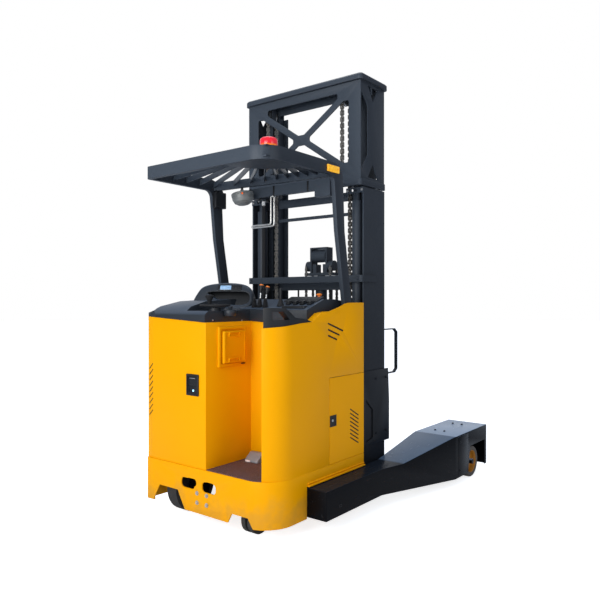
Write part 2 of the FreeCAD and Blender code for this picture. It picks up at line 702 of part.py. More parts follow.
def foot_pedal():
    body = plate("foot_pedal", "XZ", 60, 110,
                 [(300, D.floor_height + 5), (375, D.floor_height + 5),
                  (375, D.floor_height + 62), (350, D.floor_height + 60),
                  (300, D.floor_height + 18)])
    return keep("foot_pedal", body)


def steering_column():
    """Stub column rising from a bracket on the console's recess."""
    x, y, foot = D.steer_x, D.steer_y, D.console_top - RECESS_DEPTH
    shaft = rod("z", D.steer_shaft, foot, D.steer_disc_height + 12 - foot, x=x, y=y)
    return keep("steering_column", fuse(rod("z", 40, foot, 20, x=x, y=y), shaft))


def steering_wheel():
    """Disc wheel with a spinner knob."""
    x, y, z = D.steer_x, D.steer_y, D.steer_disc_height
    disc = rod("z", D.steer_disc_radius, z, D.steer_disc_thick, x=x, y=y)
    bore = rod("z", D.steer_shaft + D.shaft_gap, z - 1, 13.2, x=x, y=y)
    knob_x, knob_y = x - 20, y + D.steer_disc_radius - 32
    knob = [rod("z", radius, z + start, length, x=knob_x, y=knob_y)
            for radius, start, length in ((8, 15, 20), (20, 32, 30))]
    return keep("steering_wheel", fuse(cut(disc, bore), *knob))


# ---------------------------------------------------------------------------------------------
# Overhead guard
# ---------------------------------------------------------------------------------------------
def pillar_outline(side):
    """Side view of a pillar and the rim it bends into; the left one stands further back."""
    shift = D.guard_skew if side > 0 else size(0)
    wide, top, low = D.pillar_width, D.guard_top, D.guard_top - D.guard_rim
    rear = [(D.pillar_foot_x, D.pillar_foot_height), (D.pillar_knee_x, D.pillar_knee),
            (D.pillar_head_x, low)]
    outline = [(x - shift, z) for x, z in rear]
    start = D.pillar_head_x - shift - 2 * D.rim_bend
    outline += [(start, low), (start, top), (D.pillar_head_x - shift + wide + 14, top)]
    outline += [(x - shift + wide, z) for x, z in rear[1::-1]]
    return outline


def guard_frame():
    """Rolled roof rim, boxed rear corner and the two leaning pillars it bends down into."""
    body = new_body("guard_frame")
    wide, top, low = GUARD_HALF, D.guard_top, D.guard_top - D.guard_rim
    wall, rear = D.guard_rim_wall, D.guard_rear
    ends = {side: pillar_outline(side)[3][0] + wall for side in (-1, 1)}
    outline = new_sketch(body, "XY", low)
    polygon(outline, [(rear, -wide), (ends[-1], -wide), (ends[1], wide), (rear, wide)])
    pad(body, outline, D.guard_rim)
    inner = new_sketch(body, "XY", low)
    polygon(inner, [(rear + wall, -wide + wall), (ends[-1] + 50, -wide + wall),
                    (ends[1] + 50, wide - wall), (rear + wall, wide - wall)])
    pocket(body, inner, D.guard_rim, along=True)
    dress(body, "Fillet", D.guard_corner - wall, lies_along("z", x=rear + wall, y=-wide + wall))
    dress(body, "Fillet", D.guard_corner, lies_along("z", x=rear, y=-wide))
    dress(body, "Fillet", 30, lies_along("z", x=rear, y=wide))
    for side in (-1, 1):
        post = new_sketch(body, "XZ", -side * wide)
        points = pillar_outline(side)
        polygon(post, points)
        pad(body, post, wall, back=side < 0)
        crown, hip = points[5], points[2]
        dress(body, "Fillet", D.rim_bend, lies_along("y", x=crown[0], z=crown[1]))
        dress(body, "Fillet", D.rim_bend / 2, lies_along("y", x=hip[0], z=hip[1]))
    head, skew = D.pillar_head_x, D.guard_skew
    front = new_sketch(body, "XY", low)
    polygon(front, [(head + 20, -wide + wall), (head + 45, -wide + wall),
                    (head + 45 - skew, wide - wall), (head + 20 - skew, wide - wall)])
    pad(body, front, 60)
    skins = []
    for radius, height, thick in ((D.guard_plate_radius, low + 12, 10), (300, top - 8, 8)):
        disc = rod("z", radius, height, thick, x=rear, y=-wide)
        window = box((rear + wall, head - skew), (-wide + wall, wide - wall),
                     (height, height + thick))
        skin = doc.addObject("Part::Common", "CornerSkin")
        skin.Base, skin.Tool = disc, window
        skins.append(skin)
    return keep("guard_frame", fuse(body, *skins))


def guard_slats():
    """Roof bars fanning out from the rear corner plate to the rim."""
    body = new_body("guard_slats")
    low = D.guard_top - D.guard_rim + 22
    bar = new_sketch(body, "XY", low)
    rectangle(bar, D.guard_plate_radius - 2 * CLEAR, 3 * HALF, 0, D.slat_thick)
    feature = pad(body, bar, D.slat_height)
    fan = body.newObject("PartDesign::PolarPattern", "Fan")
    fan.Originals = [feature]
    fan.Axis = (bar, ["N_Axis"])
    fan.Angle = 78
    bind(fan, "Occurrences", D.slat_count)
    body.Tip = fan
    doc.recompute()
    place(body, x=D.guard_rear, y=-GUARD_HALF)
    body.Placement.Rotation = Rotation(Vector(0, 0, 1), 6)
    wide, front = GUARD_HALF - D.guard_rim_wall, D.pillar_head_x + CLEAR
    rear = D.guard_rear + D.guard_rim_wall
    window = plate("slat_window", "XY", low - 10, D.slat_height + CLEAR,
                   [(rear, -wide), (front, -wide), (front - D.guard_skew, wide), (rear, wide)])
    common = doc.addObject("Part::Common", "Slats")
    common.Base, common.Tool = body, window
    return keep("guard_slats", common)


def header_beam():
    """Trunking behind the slats with the switch box at the right pillar."""
    wide, rear = GUARD_HALF - D.guard_rim_wall, D.pillar_head_x
    front = rear + D.trunk_depth
    trunk = box((rear, front), (-wide, D.trunk_end), (D.trunk_low, D.trunk_high))
    case = box((rear - 8, front + 14), (-wide, 124 - wide), (D.trunk_low - 48, D.trunk_high))
    return keep("header_beam", fuse(trunk, case))


def roof_beacon():
    """Domed warning light at the right rear of the roof."""
    radius, height = D.beacon_radius, D.beacon_height
    dome = turned("beacon", [(0, 0), (radius, 0), (radius, height - 14), (radius - 12, height),
                             (0, height)])
    return keep("roof_beacon", group(place(dome, x=D.beacon_x, y=D.beacon_y, z=D.guard_top)))


def guard_lamps():
    """Bowl-shaped work light on its stalk, the side markers and the box on the left pillar."""
    radius, low, head = D.lamp_radius, D.lamp_low, D.pillar_head_x
    lamp = turned("lamp", [(0, 0), (radius / 2, 6), (radius - 14, 34), (radius, 96), (0, 96)])
    x, y = head - 98, D.lamp_y
    place(lamp, x=x, y=y, z=low)
    stalk = box((x, head - D.seat_gap), (y - 12, y + 12), (low + 90, low + 106))
    outer, rear = GUARD_HALF, head - 84
    markers = [box((rear - shift, rear + 130 - shift), (side, side + 12),
                   (D.guard_top - 68, D.guard_top - 24))
               for shift, side in ((0, -outer - 12), (D.guard_skew, outer))]
    pillar = head - D.guard_skew
    case = box((pillar + 2, pillar + 112), (outer - 70, outer - 30), (low + 11, low + 131))
    return keep("guard_lamps", group(fuse(lamp, stalk), *markers, case))


def entry_handle():
    """L-shaped grab tube hanging from the trunking."""
    x, y, tube, low = D.pillar_head_x + 10, D.handle_y, D.handle_tube, D.handle_low
    upright = rod("z", tube, low - tube, D.trunk_low - D.seat_gap - low + tube, x=x, y=y)
    return keep("entry_handle", fuse(upright, rod("y", tube, y, D.handle_reach, x=x, z=low)))


# ---------------------------------------------------------------------------------------------
# Straddle legs and wheels
# ---------------------------------------------------------------------------------------------
def straddle_leg(side):
    """Box beam that flares out to the load-wheel housing, with the mast track inside."""
    name = "straddle_leg_" + ("left" if side > 0 else "right")
    body = new_body(name)
    rear = D.leg_rear - CLEAR
    plan = new_sketch(body, "XY", D.leg_box_bottom)
    points = [(D.leg_rear, D.leg_inner), (D.leg_tip, D.leg_inner), (D.leg_tip, D.leg_outer_tip),
              (D.leg_box_rear, D.leg_outer_tip), (D.leg_flare_start, D.leg_outer),
              (D.leg_rear, D.leg_outer)]
    polygon(plan, [(x, side * y) for x, y in points])
    pad(body, plan, D.leg_box_top - D.leg_box_bottom)

    profile = new_sketch(body, "XZ", -HALF - D.leg_outer)
    above = D.leg_box_top + 5 * CLEAR
    polygon(profile, [(rear, D.leg_top), (D.leg_ramp_start, D.leg_top),
                      (D.leg_box_rear - 10, D.leg_box_top), (D.leg_box_rear - 10, above),
                      (rear, above)])
    polygon(profile, [(rear, 0), (D.leg_box_rear, 0), (D.leg_box_rear, D.leg_box_bottom),
                      (D.leg_flare_start, D.leg_bottom), (rear, D.leg_bottom)])
    pocket(body, profile, 2 * (HALF + D.leg_outer), along=True)

    track = new_sketch(body, "XY", D.track_low)
    rectangle(track, D.track_rear, D.track_front,
              *across(side, D.leg_inner - CLEAR, D.leg_inner + D.track_depth))
    pocket(body, track, D.track_high - D.track_low, along=True)

    wall, behind = D.house_wall, D.load_wheel_x - 150
    inner = D.load_wheel_centre - D.load_wheel_width / 2 - wall
    cavity = new_sketch(body, "XY", 0)
    rectangle(cavity, behind, D.leg_tip - wall, *across(side, inner, D.leg_outer_tip - 8))
    pocket(body, cavity, D.house_height, along=True)
    arch = new_sketch(body, "XZ", (D.leg_outer_tip - CLEAR) * -side)
    crest = D.house_height - 64
    polygon(arch, [(behind + 25, 0), (D.leg_tip - 38, 0), (D.leg_tip - 40, crest),
                   (behind + 75, crest)])
    pocket(body, arch, 3 * CLEAR, along=side < 0)
    axle = new_sketch(body, "XZ", side * (0.5 - inner))
    circle(axle, D.load_wheel_x, D.load_wheel_radius, D.load_axle_radius)
    pad(body, axle, D.load_wheel_width + 22, back=side > 0)
    return keep(name, body)


def tyred_wheel(radius, width, hub, bore, dish):
    """Half profile of a wheel about its axle, dished on its outer face."""
    half = width / 2
    return [(bore, -half), (radius, -half), (radius, half), (hub, half), (hub - 8, half - dish),
            (bore, half - dish)]


def wheel(name, points, x, y, z, side=1):
    """Turn a half profile about a cross-wise axle; side tells which way the outer face looks."""
    body = turned(name, [(across, out) for out, across in points], plane="XZ", axis="H_Axis")
    body.Placement = Placement(Vector(), Rotation(Vector(0, 0, 1), 90 * side))
    return place(body, x=x, y=y, z=z)


def load_wheel(label, side):
    points = tyred_wheel(D.load_wheel_radius, D.load_wheel_width, D.load_wheel_radius - 34,
                         D.load_axle_radius + D.shaft_gap, 38)
    return keep(label, group(wheel(label + "_turn", points, D.load_wheel_x,
                                   side * D.load_wheel_centre, D.load_wheel_radius, side)))


def drive_wheel():
    points = tyred_wheel(D.drive_wheel_radius, D.drive_wheel_width, D.drive_wheel_radius - 40,
                         30.05, 20)
    return keep("drive_wheel", group(wheel("drive_turn", points, D.drive_wheel_x,
                                           D.drive_wheel_y, D.drive_wheel_radius)))


def drive_yoke():
    """Steered gear case beside the drive wheel, turntable ring and upright motor."""
    x, y, r = D.drive_wheel_x, D.drive_wheel_y, D.drive_wheel_radius
    case_in = D.drive_wheel_width / 2 + 6
    parts = [box((x - 60, x + 60), (y - case_in - 62, y - case_in), (r - 66, D.floor_height + 5)),
             rod("y", 66, y - case_in - 62, 62, x=x, z=r),
             rod("y", 30, y - case_in, D.drive_wheel_width + 8, x=x, z=r),
             rod("z", D.turntable_radius, D.floor_height + 0.3, 16, x=x, y=y),
             rod("z", 90, D.floor_height + 16, 330, x=x, y=y)]
    return keep("drive_yoke", fuse(*parts))


def castor_fork():
    """Swivel fork with its kingpin plate, trailing the pair of small wheels."""
    x, y, trail = D.castor_x, D.castor_y, D.castor_trail
    r = D.castor_wheel_radius
    mid = x - trail
    parts = [rod("z", 52, 2 * r + 22, 20, x=x, y=y),
             rod("z", 20, 2 * r + 40, D.floor_height - D.floor_plate - 2 * r - 40.3, x=x, y=y),
             box((mid - 20, x + 40), (y - 8, y + 8), (r, 2 * r + 24)),
             rod("y", 12, y - D.castor_wheel_spacing / 2 - D.castor_wheel_width / 2 - 4,
                 D.castor_wheel_spacing + D.castor_wheel_width + 8, x=mid, z=r)]
    return keep("castor_fork", fuse(*parts))


def castor_wheels():
    radius, half, bore = D.castor_wheel_radius, D.castor_wheel_width / 2, 12.05
    points = [(bore, -half), (radius, -half), (radius, half), (bore, half)]
    pair = [wheel("castor_turn", points, D.castor_x - D.castor_trail,
                  D.castor_y + side * D.castor_wheel_spacing / 2, radius) for side in (-1, 1)]
    return keep("castor_wheels", group(*pair))


# ---------------------------------------------------------------------------------------------
# Mast
# ---------------------------------------------------------------------------------------------
def channel(name, side, outer, depth, rear, front, low, high, web, flange, tail=0):
    """C-shaped mast upright whose flanges point to the truck's middle."""
    body = new_body(name)
    sketch = new_sketch(body, "XY", low)
    edge, inner, open_edge = outer, outer - web, outer - depth
    points = [(rear - tail, edge), (front, edge), (front, open_edge), (front - flange, open_edge),
              (front - flange, inner), (rear + flange, inner), (rear + flange, open_edge),
              (rear, open_edge), (rear, inner), (rear - tail, inner)]
    if not float(tail):
        points = points[:-2]
    polygon(sketch, [(x, side * y) for x, y in points])
    pad(body, sketch, high - low)
    return body


def stage(number):
    """Outer edge, rear and front of the uprights of a mast stage (0 outer, 1 middle, 2 inner)."""
    inset = D.stage_inset * number
    return (D.mast_half_width - D.stage_step * number - (6 if number else 0),
            D.flange_rear + inset, D.mast_front - inset)


def uprights(name, number, low, high, tail=0):
    outer, rear, front = stage(number)
    return [channel("%s_upright" % name, side, outer, D.flange_depth, rear, front,
                    low, high, D.mast_web, D.flange_thick, tail) for side in (-1, 1)]


def cross_bars(number, spans):
    """Flat cross members behind the uprights of a stage, between pairs of heights."""
    outer, rear, front = stage(number)
    return [box((rear - D.cross_bar, rear), (-outer + 1, outer - 1), span) for span in spans]


def track_rollers(number, z):
    """Pair of rollers on a stage that run in the uprights of the stage outside it."""
    inner_edge = stage(number)[0]
    outer, rear, front = stage(number - 1)
    radius = (front - rear) / 2 - D.flange_thick - D.roller_gap
    width = outer - D.mast_web - 2 - inner_edge
    return [rod("y", radius, inner_edge if side > 0 else -inner_edge - width, width,
                x=(rear + front) / 2, z=z) for side in (-1, 1)]


def mast_outer():
    """Fixed-stage uprights with their rear cross members."""
    parts = uprights("mast_outer", 0, D.mast_bottom, D.outer_top, D.flange_rear - D.mast_rear)
    bars = cross_bars(0, ((430, 560), (2042, 2066), (2150, D.outer_top - 5)))
    wide, head = D.mast_half_width, D.outer_top
    for side in (-1, 1):
        body = new_body("hose_plate")
        sketch = new_sketch(body, "YZ", D.mast_rear - 6)
        rectangle(sketch, *across(side, wide - 145, wide), head - 40, head)
        for inset in (122, 94, 66):
            circle(sketch, side * (wide - inset), head - 20, 10)
        pad(body, sketch, 6)
        bars.append(body)
    return keep("mast_outer", fuse(*parts, *bars))


def mast_tie_bar():
    """Flat bar wrapped round the rear of the mast with round corners."""
    body = new_body("mast_tie_bar")
    out = D.mast_half_width + 14
    sketch = new_sketch(body, "XY", D.tie_bar_low)
    rear, front, wide = D.frame_rear, D.tie_bar_front, D.mast_half_width
    face = rear + D.tie_bar_thick
    polygon(sketch, [(rear, -out), (front, -out), (front, -wide), (face, -wide),
                     (face, wide), (front, wide), (front, out), (rear, out)])
    pad(body, sketch, D.tie_bar_high - D.tie_bar_low)
    dress(body, "Fillet", 26, lies_along("z", x=rear, y=-out), lies_along("z", x=rear, y=out))
    return keep("mast_tie_bar", body)


def lift_cylinders():
    """Barrels of the two lift cylinders, bored for their rods."""
    parts = []
    foot = D.mast_bottom + CLEAR
    for side in (-1, 1):
        place_at = {"x": D.cylinder_x, "y": side * D.cylinder_y}
        barrel = rod("z", D.cylinder_radius, foot, D.cylinder_top - foot, **place_at)
        bore = rod("z", D.rod_radius + D.seat_gap, foot + 2 * CLEAR, BIG, **place_at)
        parts.append(cut(barrel, bore))
    return keep("lift_cylinders", group(*parts))


def lift_rods():
    """Piston rods that push the middle stage up."""
    rods = [rod("z", D.rod_radius, D.rod_low, D.frame_bottom - D.rod_low, x=D.cylinder_x,
                y=side * D.cylinder_y) for side in (-1, 1)]
    return keep("lift_rods", group(*rods))


def reach_carriage():
    """Side plates and base frame that carry the mast along the legs on track rollers."""
    parts = []
    out, gap = D.mast_half_width, D.seat_gap
    rear, front = D.carriage_plate_rear, D.carriage_plate_front
    low, high = D.carriage_plate_low, D.carriage_plate_top
    bend = (low + 2 * high) / 3 - 54
    for side in (-1, 1):
        body = new_body("carriage_plate")
        sketch = new_sketch(body, "XZ", -side * (out + gap))
        polygon(sketch, [(rear, low - 20), (front + 6, low - 20), (front + 6, bend),
                         (front - 10, high), (rear, high)])
        polygon(sketch, [(rear + 34, low + 4), (rear + 128, low + 30), (rear + 128, bend - 60),
                         (rear + 34, bend + 26)])
        pad(body, sketch, D.carriage_plate_thick, back=side > 0)
        parts.append(body)
    foot, floor = out - gap, D.carriage_foot
    parts.append(box((rear, rear + 14), (-foot, foot), (floor, low - 10)))
    parts.append(box((rear + 14 + gap, D.mast_front), (-foot, foot), (floor, D.mast_bottom - gap)))
    roller, axle = D.track_roller, D.track_axle
    for side in (-1, 1):
        for x in (rear + 70, rear + 250):
            stub = across(side, out + gap, D.leg_inner + D.track_depth - 8)
            low_y, high_y = across(side, D.leg_inner + 2, D.leg_inner + D.track_depth - 4)
            parts.append(fuse(box((x - 14, x + 14), stub, (axle - 14, axle + 14)),
                              rod("y", roller, low_y, high_y - low_y, x=x, z=axle)))
    reach = D.leg_rear + 44
    parts.append(rod("x", D.reach_rod, reach, rear - reach - gap, y=0, z=D.reach_height))
    return keep("reach_carriage", group(*parts))


def reach_cylinder():
    """Barrel of the cylinder that pushes the mast out along the legs."""
    rear, height = D.leg_rear - 6, D.reach_height
    barrel = rod("x", D.reach_barrel, rear, D.body_front - D.front_wall - rear, y=0, z=height)
    bore = rod("x", D.reach_rod + D.seat_gap, rear + CLEAR, BIG, y=0, z=height)
    return keep("reach_barrel", cut(barrel, bore))


def hose_guard():
    """Bent flat-bar hoop that keeps the mast hoses clear of the load."""
    body = new_body("hose_guard")
    sketch = new_sketch(body, "XZ", D.mast_half_width - 24)
    rear, reach, low, high = D.mast_front, D.mast_front + D.hoop_reach, D.hoop_low, D.hoop_high
    outer = [(rear, high), (reach - 36, high), (reach, high - 27), (reach, low + 27),
             (reach - 36, low), (rear + 40, low)]
    inner = [(rear + 40, low + 8), (reach - 39, low + 8), (reach - 8, low + 31),
             (reach - 8, high - 31), (reach - 39, high - 8), (rear, high - 8)]
    polygon(sketch, outer + inner)
    pad(body, sketch, 24)
    return keep("hose_guard", body)


def mast_middle():
    """Middle-stage uprights, cross members and the rollers that run in the outer stage."""
    foot = D.mast_bottom + 25
    parts = uprights("mast_middle", 1, foot, D.frame_top - D.cap_plate)
    bars = cross_bars(1, ((620, 700), (1500, 1590)))
    return keep("mast_middle", fuse(*parts, *bars, *track_rollers(1, foot + 90)))


def mast_inner():
    """Inner-stage uprights with the barrel of the free-lift cylinder."""
    foot, x = D.mast_bottom + 15, D.free_cylinder_x
    parts = uprights("mast_inner", 2, foot, D.frame_top - D.cap_plate - 60)
    spans = ((foot, foot + 80), (D.free_cylinder_top - 240, D.free_cylinder_top - 190))
    bars = cross_bars(2, spans)
    rear = stage(2)[1]
    seats = [box((rear - D.cross_bar, x), (-30, 30), (low, low + 20)) for low, high in spans]
    barrel = rod("z", D.free_cylinder, foot, D.free_cylinder_top - foot, x=x)
    bored = cut(fuse(barrel, *seats), rod("z", D.free_rod + D.seat_gap, foot + 30, BIG, x=x))
    return keep("mast_inner", fuse(*parts, *bars, bored, *track_rollers(2, foot + 90)))


def free_lift_head():
    """Free-lift plunger with its crosshead, hose pulley bracket and the two chain sheaves."""
    x, seat, top = D.free_cylinder_x, D.free_cylinder_top + 15, D.free_head_top
    near, far, pulley = x - 40, x + 40, 66
    parts = [rod("z", D.free_rod, 700, seat - 690, x=x),
             box((near, far), (-135, 135), (seat, seat + 22)),
             box((near, far), (-pulley - 14, pulley + 14), (top - 12, top)),
             rod("y", 50, -pulley - 1, 2 * pulley + 2, x=x, z=top - pulley)]
    chains = []
    axle, thick = seat + 74, D.chain_thick
    for side in (-1, 1):
        parts.append(box((near, far), across(side, pulley, pulley + 14), (seat + 21, top)))
        parts.append(box((near + 14, far), across(side, 32, pulley + 1), (seat + 21, seat + 88)))
        low, high = across(side, pulley + 13, pulley + 61)
        parts.append(rod("y", D.free_sheave, low, high - low, x=x, z=axle))
        half = D.free_chain_width / 2
        run = (side * D.free_chain_y - half, side * D.free_chain_y + half)
        for edge, foot in ((near - thick - D.seat_gap, 1000), (far + D.seat_gap, 640)):
            chains.append(box((edge, edge + thick), run, (foot, axle)))
    return keep("free_lift_head", group(fuse(*parts), *chains))


def frame_back():
    """Back plate of the top frame with the four windows between its crossed braces."""
    low, high = D.frame_bottom + D.ledge_plate, D.frame_top - D.cap_plate
    wide, middle = D.mast_half_width, (low + high) / 2
    body = new_body("frame_back")
    sketch = new_sketch(body, "YZ", D.frame_rear)
    polygon(sketch, [(-wide, low), (wide, low), (wide, high), (-wide, high)])
    broad, waist = wide - 196, 28
    for edge, into in ((high, -1), (low, 1)):
        polygon(sketch, [(-broad, edge + into * 62), (broad, edge + into * 62),
                         (broad, edge + into * 102), (waist, middle - into * 39),
                         (-waist, middle - into * 39), (-broad, edge + into * 102)])
    for side in (-1, 1):
        outer, inner = side * (wide - 100), side * (wide - 146)
        polygon(sketch, [(outer, high - 125), (inner, high - 125), (side * 76, middle + 14),
                         (side * 76, middle - 14), (inner, low + 125), (outer, low + 125)])
    pad(body, sketch, D.frame_plate)

    def window_corner(edge, centre):
        straight = isinstance(edge.Curve, Part.Line)
        return (straight and abs(edge.tangentAt(0).x) > 0.99 and abs(centre.y) < float(wide) - 5)
    dress(body, "Fillet", 16, window_corner)
    return body


def top_frame():
    """Braced box at the head of the middle stage: cap, X-braced back and windowed sides."""
    low, high = D.frame_bottom + D.ledge_plate, D.frame_top - D.cap_plate
    wide, t = D.mast_half_width, D.frame_plate
    sides = []
    for side in (-1, 1):
        body = new_body("frame_side")
        sketch = new_sketch(body, "XZ", -side * wide if side > 0 else wide)
        front, rear = D.mast_front - 3, D.frame_rear + t
        notch, middle = rear + 85, rear + 153
        polygon(sketch, [(rear, low), (front, low), (front, high), (rear, high),
                         (rear, high - 75), (notch - 20, high - 137), (notch, high - 165),
                         (notch, low + 180), (notch - 20, low + 145), (rear, low + 69)])
        for edge, into in ((high, -1), (low, 1)):
            polygon(sketch, [(middle - 68, edge + into * 20), (middle + 68, edge + into * 20),
                             (middle, edge + into * 122)])
        pad(body, sketch, t, back=side < 0)
        sides.append(body)

    cap = new_body("frame_cap")
    over = D.cap_overhang
    sketch = new_sketch(cap, "XY", high)
    ends = (D.frame_rear - over, D.mast_front + over)
    rectangle(sketch, *ends, -wide - over, wide + over)
    pad(cap, sketch, D.cap_plate)
    dress(cap, "Fillet", 34, *[lies_along("z", x=x, y=y) for x in ends
                               for y in (-wide - over, wide + over)])
    dress(cap, "Chamfer", 12, lambda edge, centre: abs(centre.z - float(D.frame_top)) < 0.5)
    inner_half, inner_rear = stage(2)[:2]
    slot_way = new_sketch(cap, "XY", high - 5)
    rectangle(slot_way, inner_rear - D.cross_bar - 7, ends[1] + 5, -inner_half - 6, inner_half + 6)
    pocket(cap, slot_way, D.cap_plate + 10, along=True)

    ledge = new_body("frame_ledge")
    sketch = new_sketch(ledge, "XY", D.frame_bottom)
    over = D.ledge_overhang
    lip_ends = (D.frame_rear - over, D.mast_front + over)
    rectangle(sketch, *lip_ends, -wide - over, wide + over)
    outer, rear, front = stage(1)
    seat, narrow, broad = D.frame_rear + 21, D.cylinder_y - 2 * D.rod_radius, outer + 4
    polygon(sketch, [(seat, -narrow), (rear - 10, -narrow), (rear - 10, -broad),
                     (front + 7, -broad), (front + 7, broad), (rear - 10, broad),
                     (rear - 10, narrow), (seat, narrow)])
    pad(ledge, sketch, D.ledge_plate)
    dress(ledge, "Fillet", 26, *[lies_along("z", x=x, y=y) for x in lip_ends
                                 for y in (-wide - over, wide + over)])
    mouth = new_sketch(ledge, "XY", D.frame_bottom - 5)
    rectangle(mouth, front, lip_ends[1] + 5, -inner_half - 6, inner_half + 6)
    pocket(ledge, mouth, D.ledge_plate + 10, along=True)
    beam_rear = D.sheave_x + D.sheave_radius + 2 * D.chain_thick
    hangers = [box((beam_rear, beam_rear + t), (-wide, wide), (high - 74, high))]
    fork = D.chain_width / 2 + 9
    for side in (-1, 1):
        y = side * D.chain_y
        for cheek in (y - fork, y + fork - 6):
            hangers.append(box((D.sheave_x - 25, D.sheave_x + 25), (cheek, cheek + 6),
                               (D.sheave_height - 24, high)))
        hangers.append(rod("y", D.sheave_pin, y - fork, 2 * fork,
                           x=D.sheave_x, z=D.sheave_height))
    return keep("mast_top_frame", fuse(frame_back(), *sides, cap, ledge, *hangers))


def mast_chains():
    """Chains of the middle stage, each doubled over a sheave under the head plate."""
    x, z, inner, width = D.sheave_x, D.sheave_height, D.sheave_radius, D.chain_width
    wrap = inner + D.chain_thick
    chains = []
    for side in (-1, 1):
        low = side * D.chain_y - width / 2
        runs = [box(span, (low, low + width), (D.chain_low, z))
                for span in ((x - wrap, x - inner), (x + inner, x + wrap))]
        loop = fuse(rod("y", wrap, low, width, x=x, z=z), *runs)
        eye = rod("y", D.sheave_pin + D.seat_gap, low - 1, width + 2, x=x, z=z)
        chains.append(cut(loop, eye))
    return keep("mast_chains", group(*chains))


# ---------------------------------------------------------------------------------------------
# Carriage and forks
# ---------------------------------------------------------------------------------------------
def lift_carriage():
    """Roller plates in the inner uprights with two cross bars in front."""
    outer, rear, front = stage(2)
    wide, web, low = D.carriage_half_width, outer - D.mast_web - 2, D.carriage_low
    radius = (front - rear) / 2 - D.flange_thick - D.roller_gap
    middle, inner = (rear + front) / 2, outer - D.flange_depth - 2
    parts = []
    for side in (-1, 1):
        parts.append(box((rear + 22, D.carriage_front), across(side, wide - 16, wide),
                         (low, D.carriage_top)))
        for z in (low + 75, D.carriage_top - 90):
            near, far = across(side, inner, web)
            parts.append(box((middle - 16, middle + 16), across(side, wide - 4, inner + 1),
                             (z - 16, z + 16)))
            parts.append(rod("y", radius, near, far - near, x=middle, z=z))
    for z in (low + 15, D.carriage_top - 80):
        parts.append(box((D.carriage_front - 20, D.carriage_front), (-wide, wide), (z, z + 70)))
    return keep("lift_carriage", fuse(*parts))


def side_shift_frame():
    """Frame that slides across the carriage, with the two fork tilt pins."""
    wide, pin_z, low = D.carriage_half_width, D.tilt_pin_height, D.carriage_low
    depth, edge = (SHIFT_REAR, SHIFT_FRONT), wide - 60
    parts = [box(depth, (-wide - 40, wide + 40), (z, z + 60))
             for z in (low + 25, D.carriage_top - 70)]
    for side in (-1, 1):
        parts.append(box(depth, across(side, edge, wide), (low + 35, D.carriage_top - 20)))
        parts.append(box((SHIFT_FRONT, D.fork_bar_rear + 26), across(side, edge, edge + 14),
                         (pin_z - 22, pin_z + 22)))
        near, far = across(side, edge, edge + 30)
        parts.append(rod("y", D.tilt_pin, near, far - near, x=TILT_PIN_X, z=pin_z))
    return keep("side_shift_frame", fuse(*parts))


def fork_carrier():
    """Fork bars hung on the tilt pins, with the load backrest above them."""
    wide, ear, pin_z = D.backrest_half_width, D.carriage_half_width, D.tilt_pin_height
    rear, front, low = D.fork_bar_rear, D.fork_bar_front, D.carriage_low + 35
    bars = [box((rear, front), (-wide, wide), (z, z + 90)) for z in (low, D.carriage_top - 50)]
    for side in (-1, 1):
        bars.append(box((rear, front - 8), across(side, wide - 60, wide - 20),
                        (low, D.carriage_top)))
        hook = box((rear - D.tilt_pin_inset, front), across(side, ear - 45.7, ear - 30),
                   (pin_z - 24, D.carriage_top - 40))
        bore = rod("y", D.tilt_pin + D.shaft_gap, -BIG / 8, BIG / 4, x=TILT_PIN_X, z=pin_z)
        bars.append(cut(hook, bore))
    count = BACKREST_BARS
    step = (2 * wide - 12) / (count - 1)
    rest = [box((rear, rear + 14), (step * k - wide, step * k - wide + 12),
                (D.carriage_top, D.backrest_top - 10)) for k in range(count)]
    rest.append(box((rear, rear + 16), (-wide, wide), (D.backrest_top - 30, D.backrest_top)))
    return keep("fork_carrier", fuse(*bars, *rest))


def forks():
    """Pair of hooked forks with tapered blades."""
    pair = []
    for side in (-1, 1):
        body = new_body("fork")
        x, low = D.fork_bar_front, D.fork_underside
        sketch = new_sketch(body, "XZ", -side * D.fork_spread)
        top = low + D.fork_thick
        polygon(sketch, [(x, low), (FORK_TIP - 420, low), (FORK_TIP, top - 12), (FORK_TIP, top),
                         (x + D.fork_shank + 24, top), (x + D.fork_shank, top + 24),
                         (x + D.fork_shank, D.carriage_top + 30), (x, D.carriage_top + 30)])
        pad(body, sketch, D.fork_width, symmetric=True)
        tips = [lies_along("z", x=FORK_TIP, y=side * D.fork_spread + s * D.fork_width / 2)
                for s in (-1, 1)]
        dress(body, "Fillet", 40, *tips)
        pair.append(body)
    return keep("forks", group(*pair))


# ---------------------------------------------------------------------------------------------
# Build, check and write
# ---------------------------------------------------------------------------------------------
def build():
    for maker in (chassis_frame, floor_mat, hood_shell, right_panel, battery_door, battery_block,
                  console_cover, dash_binnacle, control_console, control_levers, grab_handle,
                  charge_port, foot_pedal, steering_column, steering_wheel, guard_frame,
                  guard_slats, header_beam, roof_beacon, guard_lamps, entry_handle,
                  drive_wheel, drive_yoke, castor_fork, castor_wheels, mast_outer, mast_tie_bar,
                  lift_cylinders, lift_rods, reach_carriage, reach_cylinder, hose_guard,
                  mast_middle, mast_inner, free_lift_head, top_frame, mast_chains, lift_carriage,
                  side_shift_frame, fork_carrier, forks):
        maker()
    for side, name in ((1, "left"), (-1, "right")):
        straddle_leg(side)
        load_wheel("load_wheel_" + name, side)


def check():
    doc.recompute()
    for obj in doc.Objects:
        if "Invalid" in obj.State or "Error" in obj.State:
            raise RuntimeError("%s (%s) failed: %s" % (obj.Name, obj.Label, obj.State))
    for label, obj in PIECES.items():
        if obj.Shape.isNull() or not obj.Shape.isValid() or not obj.Shape.Solids:
            raise RuntimeError("%s has no valid solid" % label)


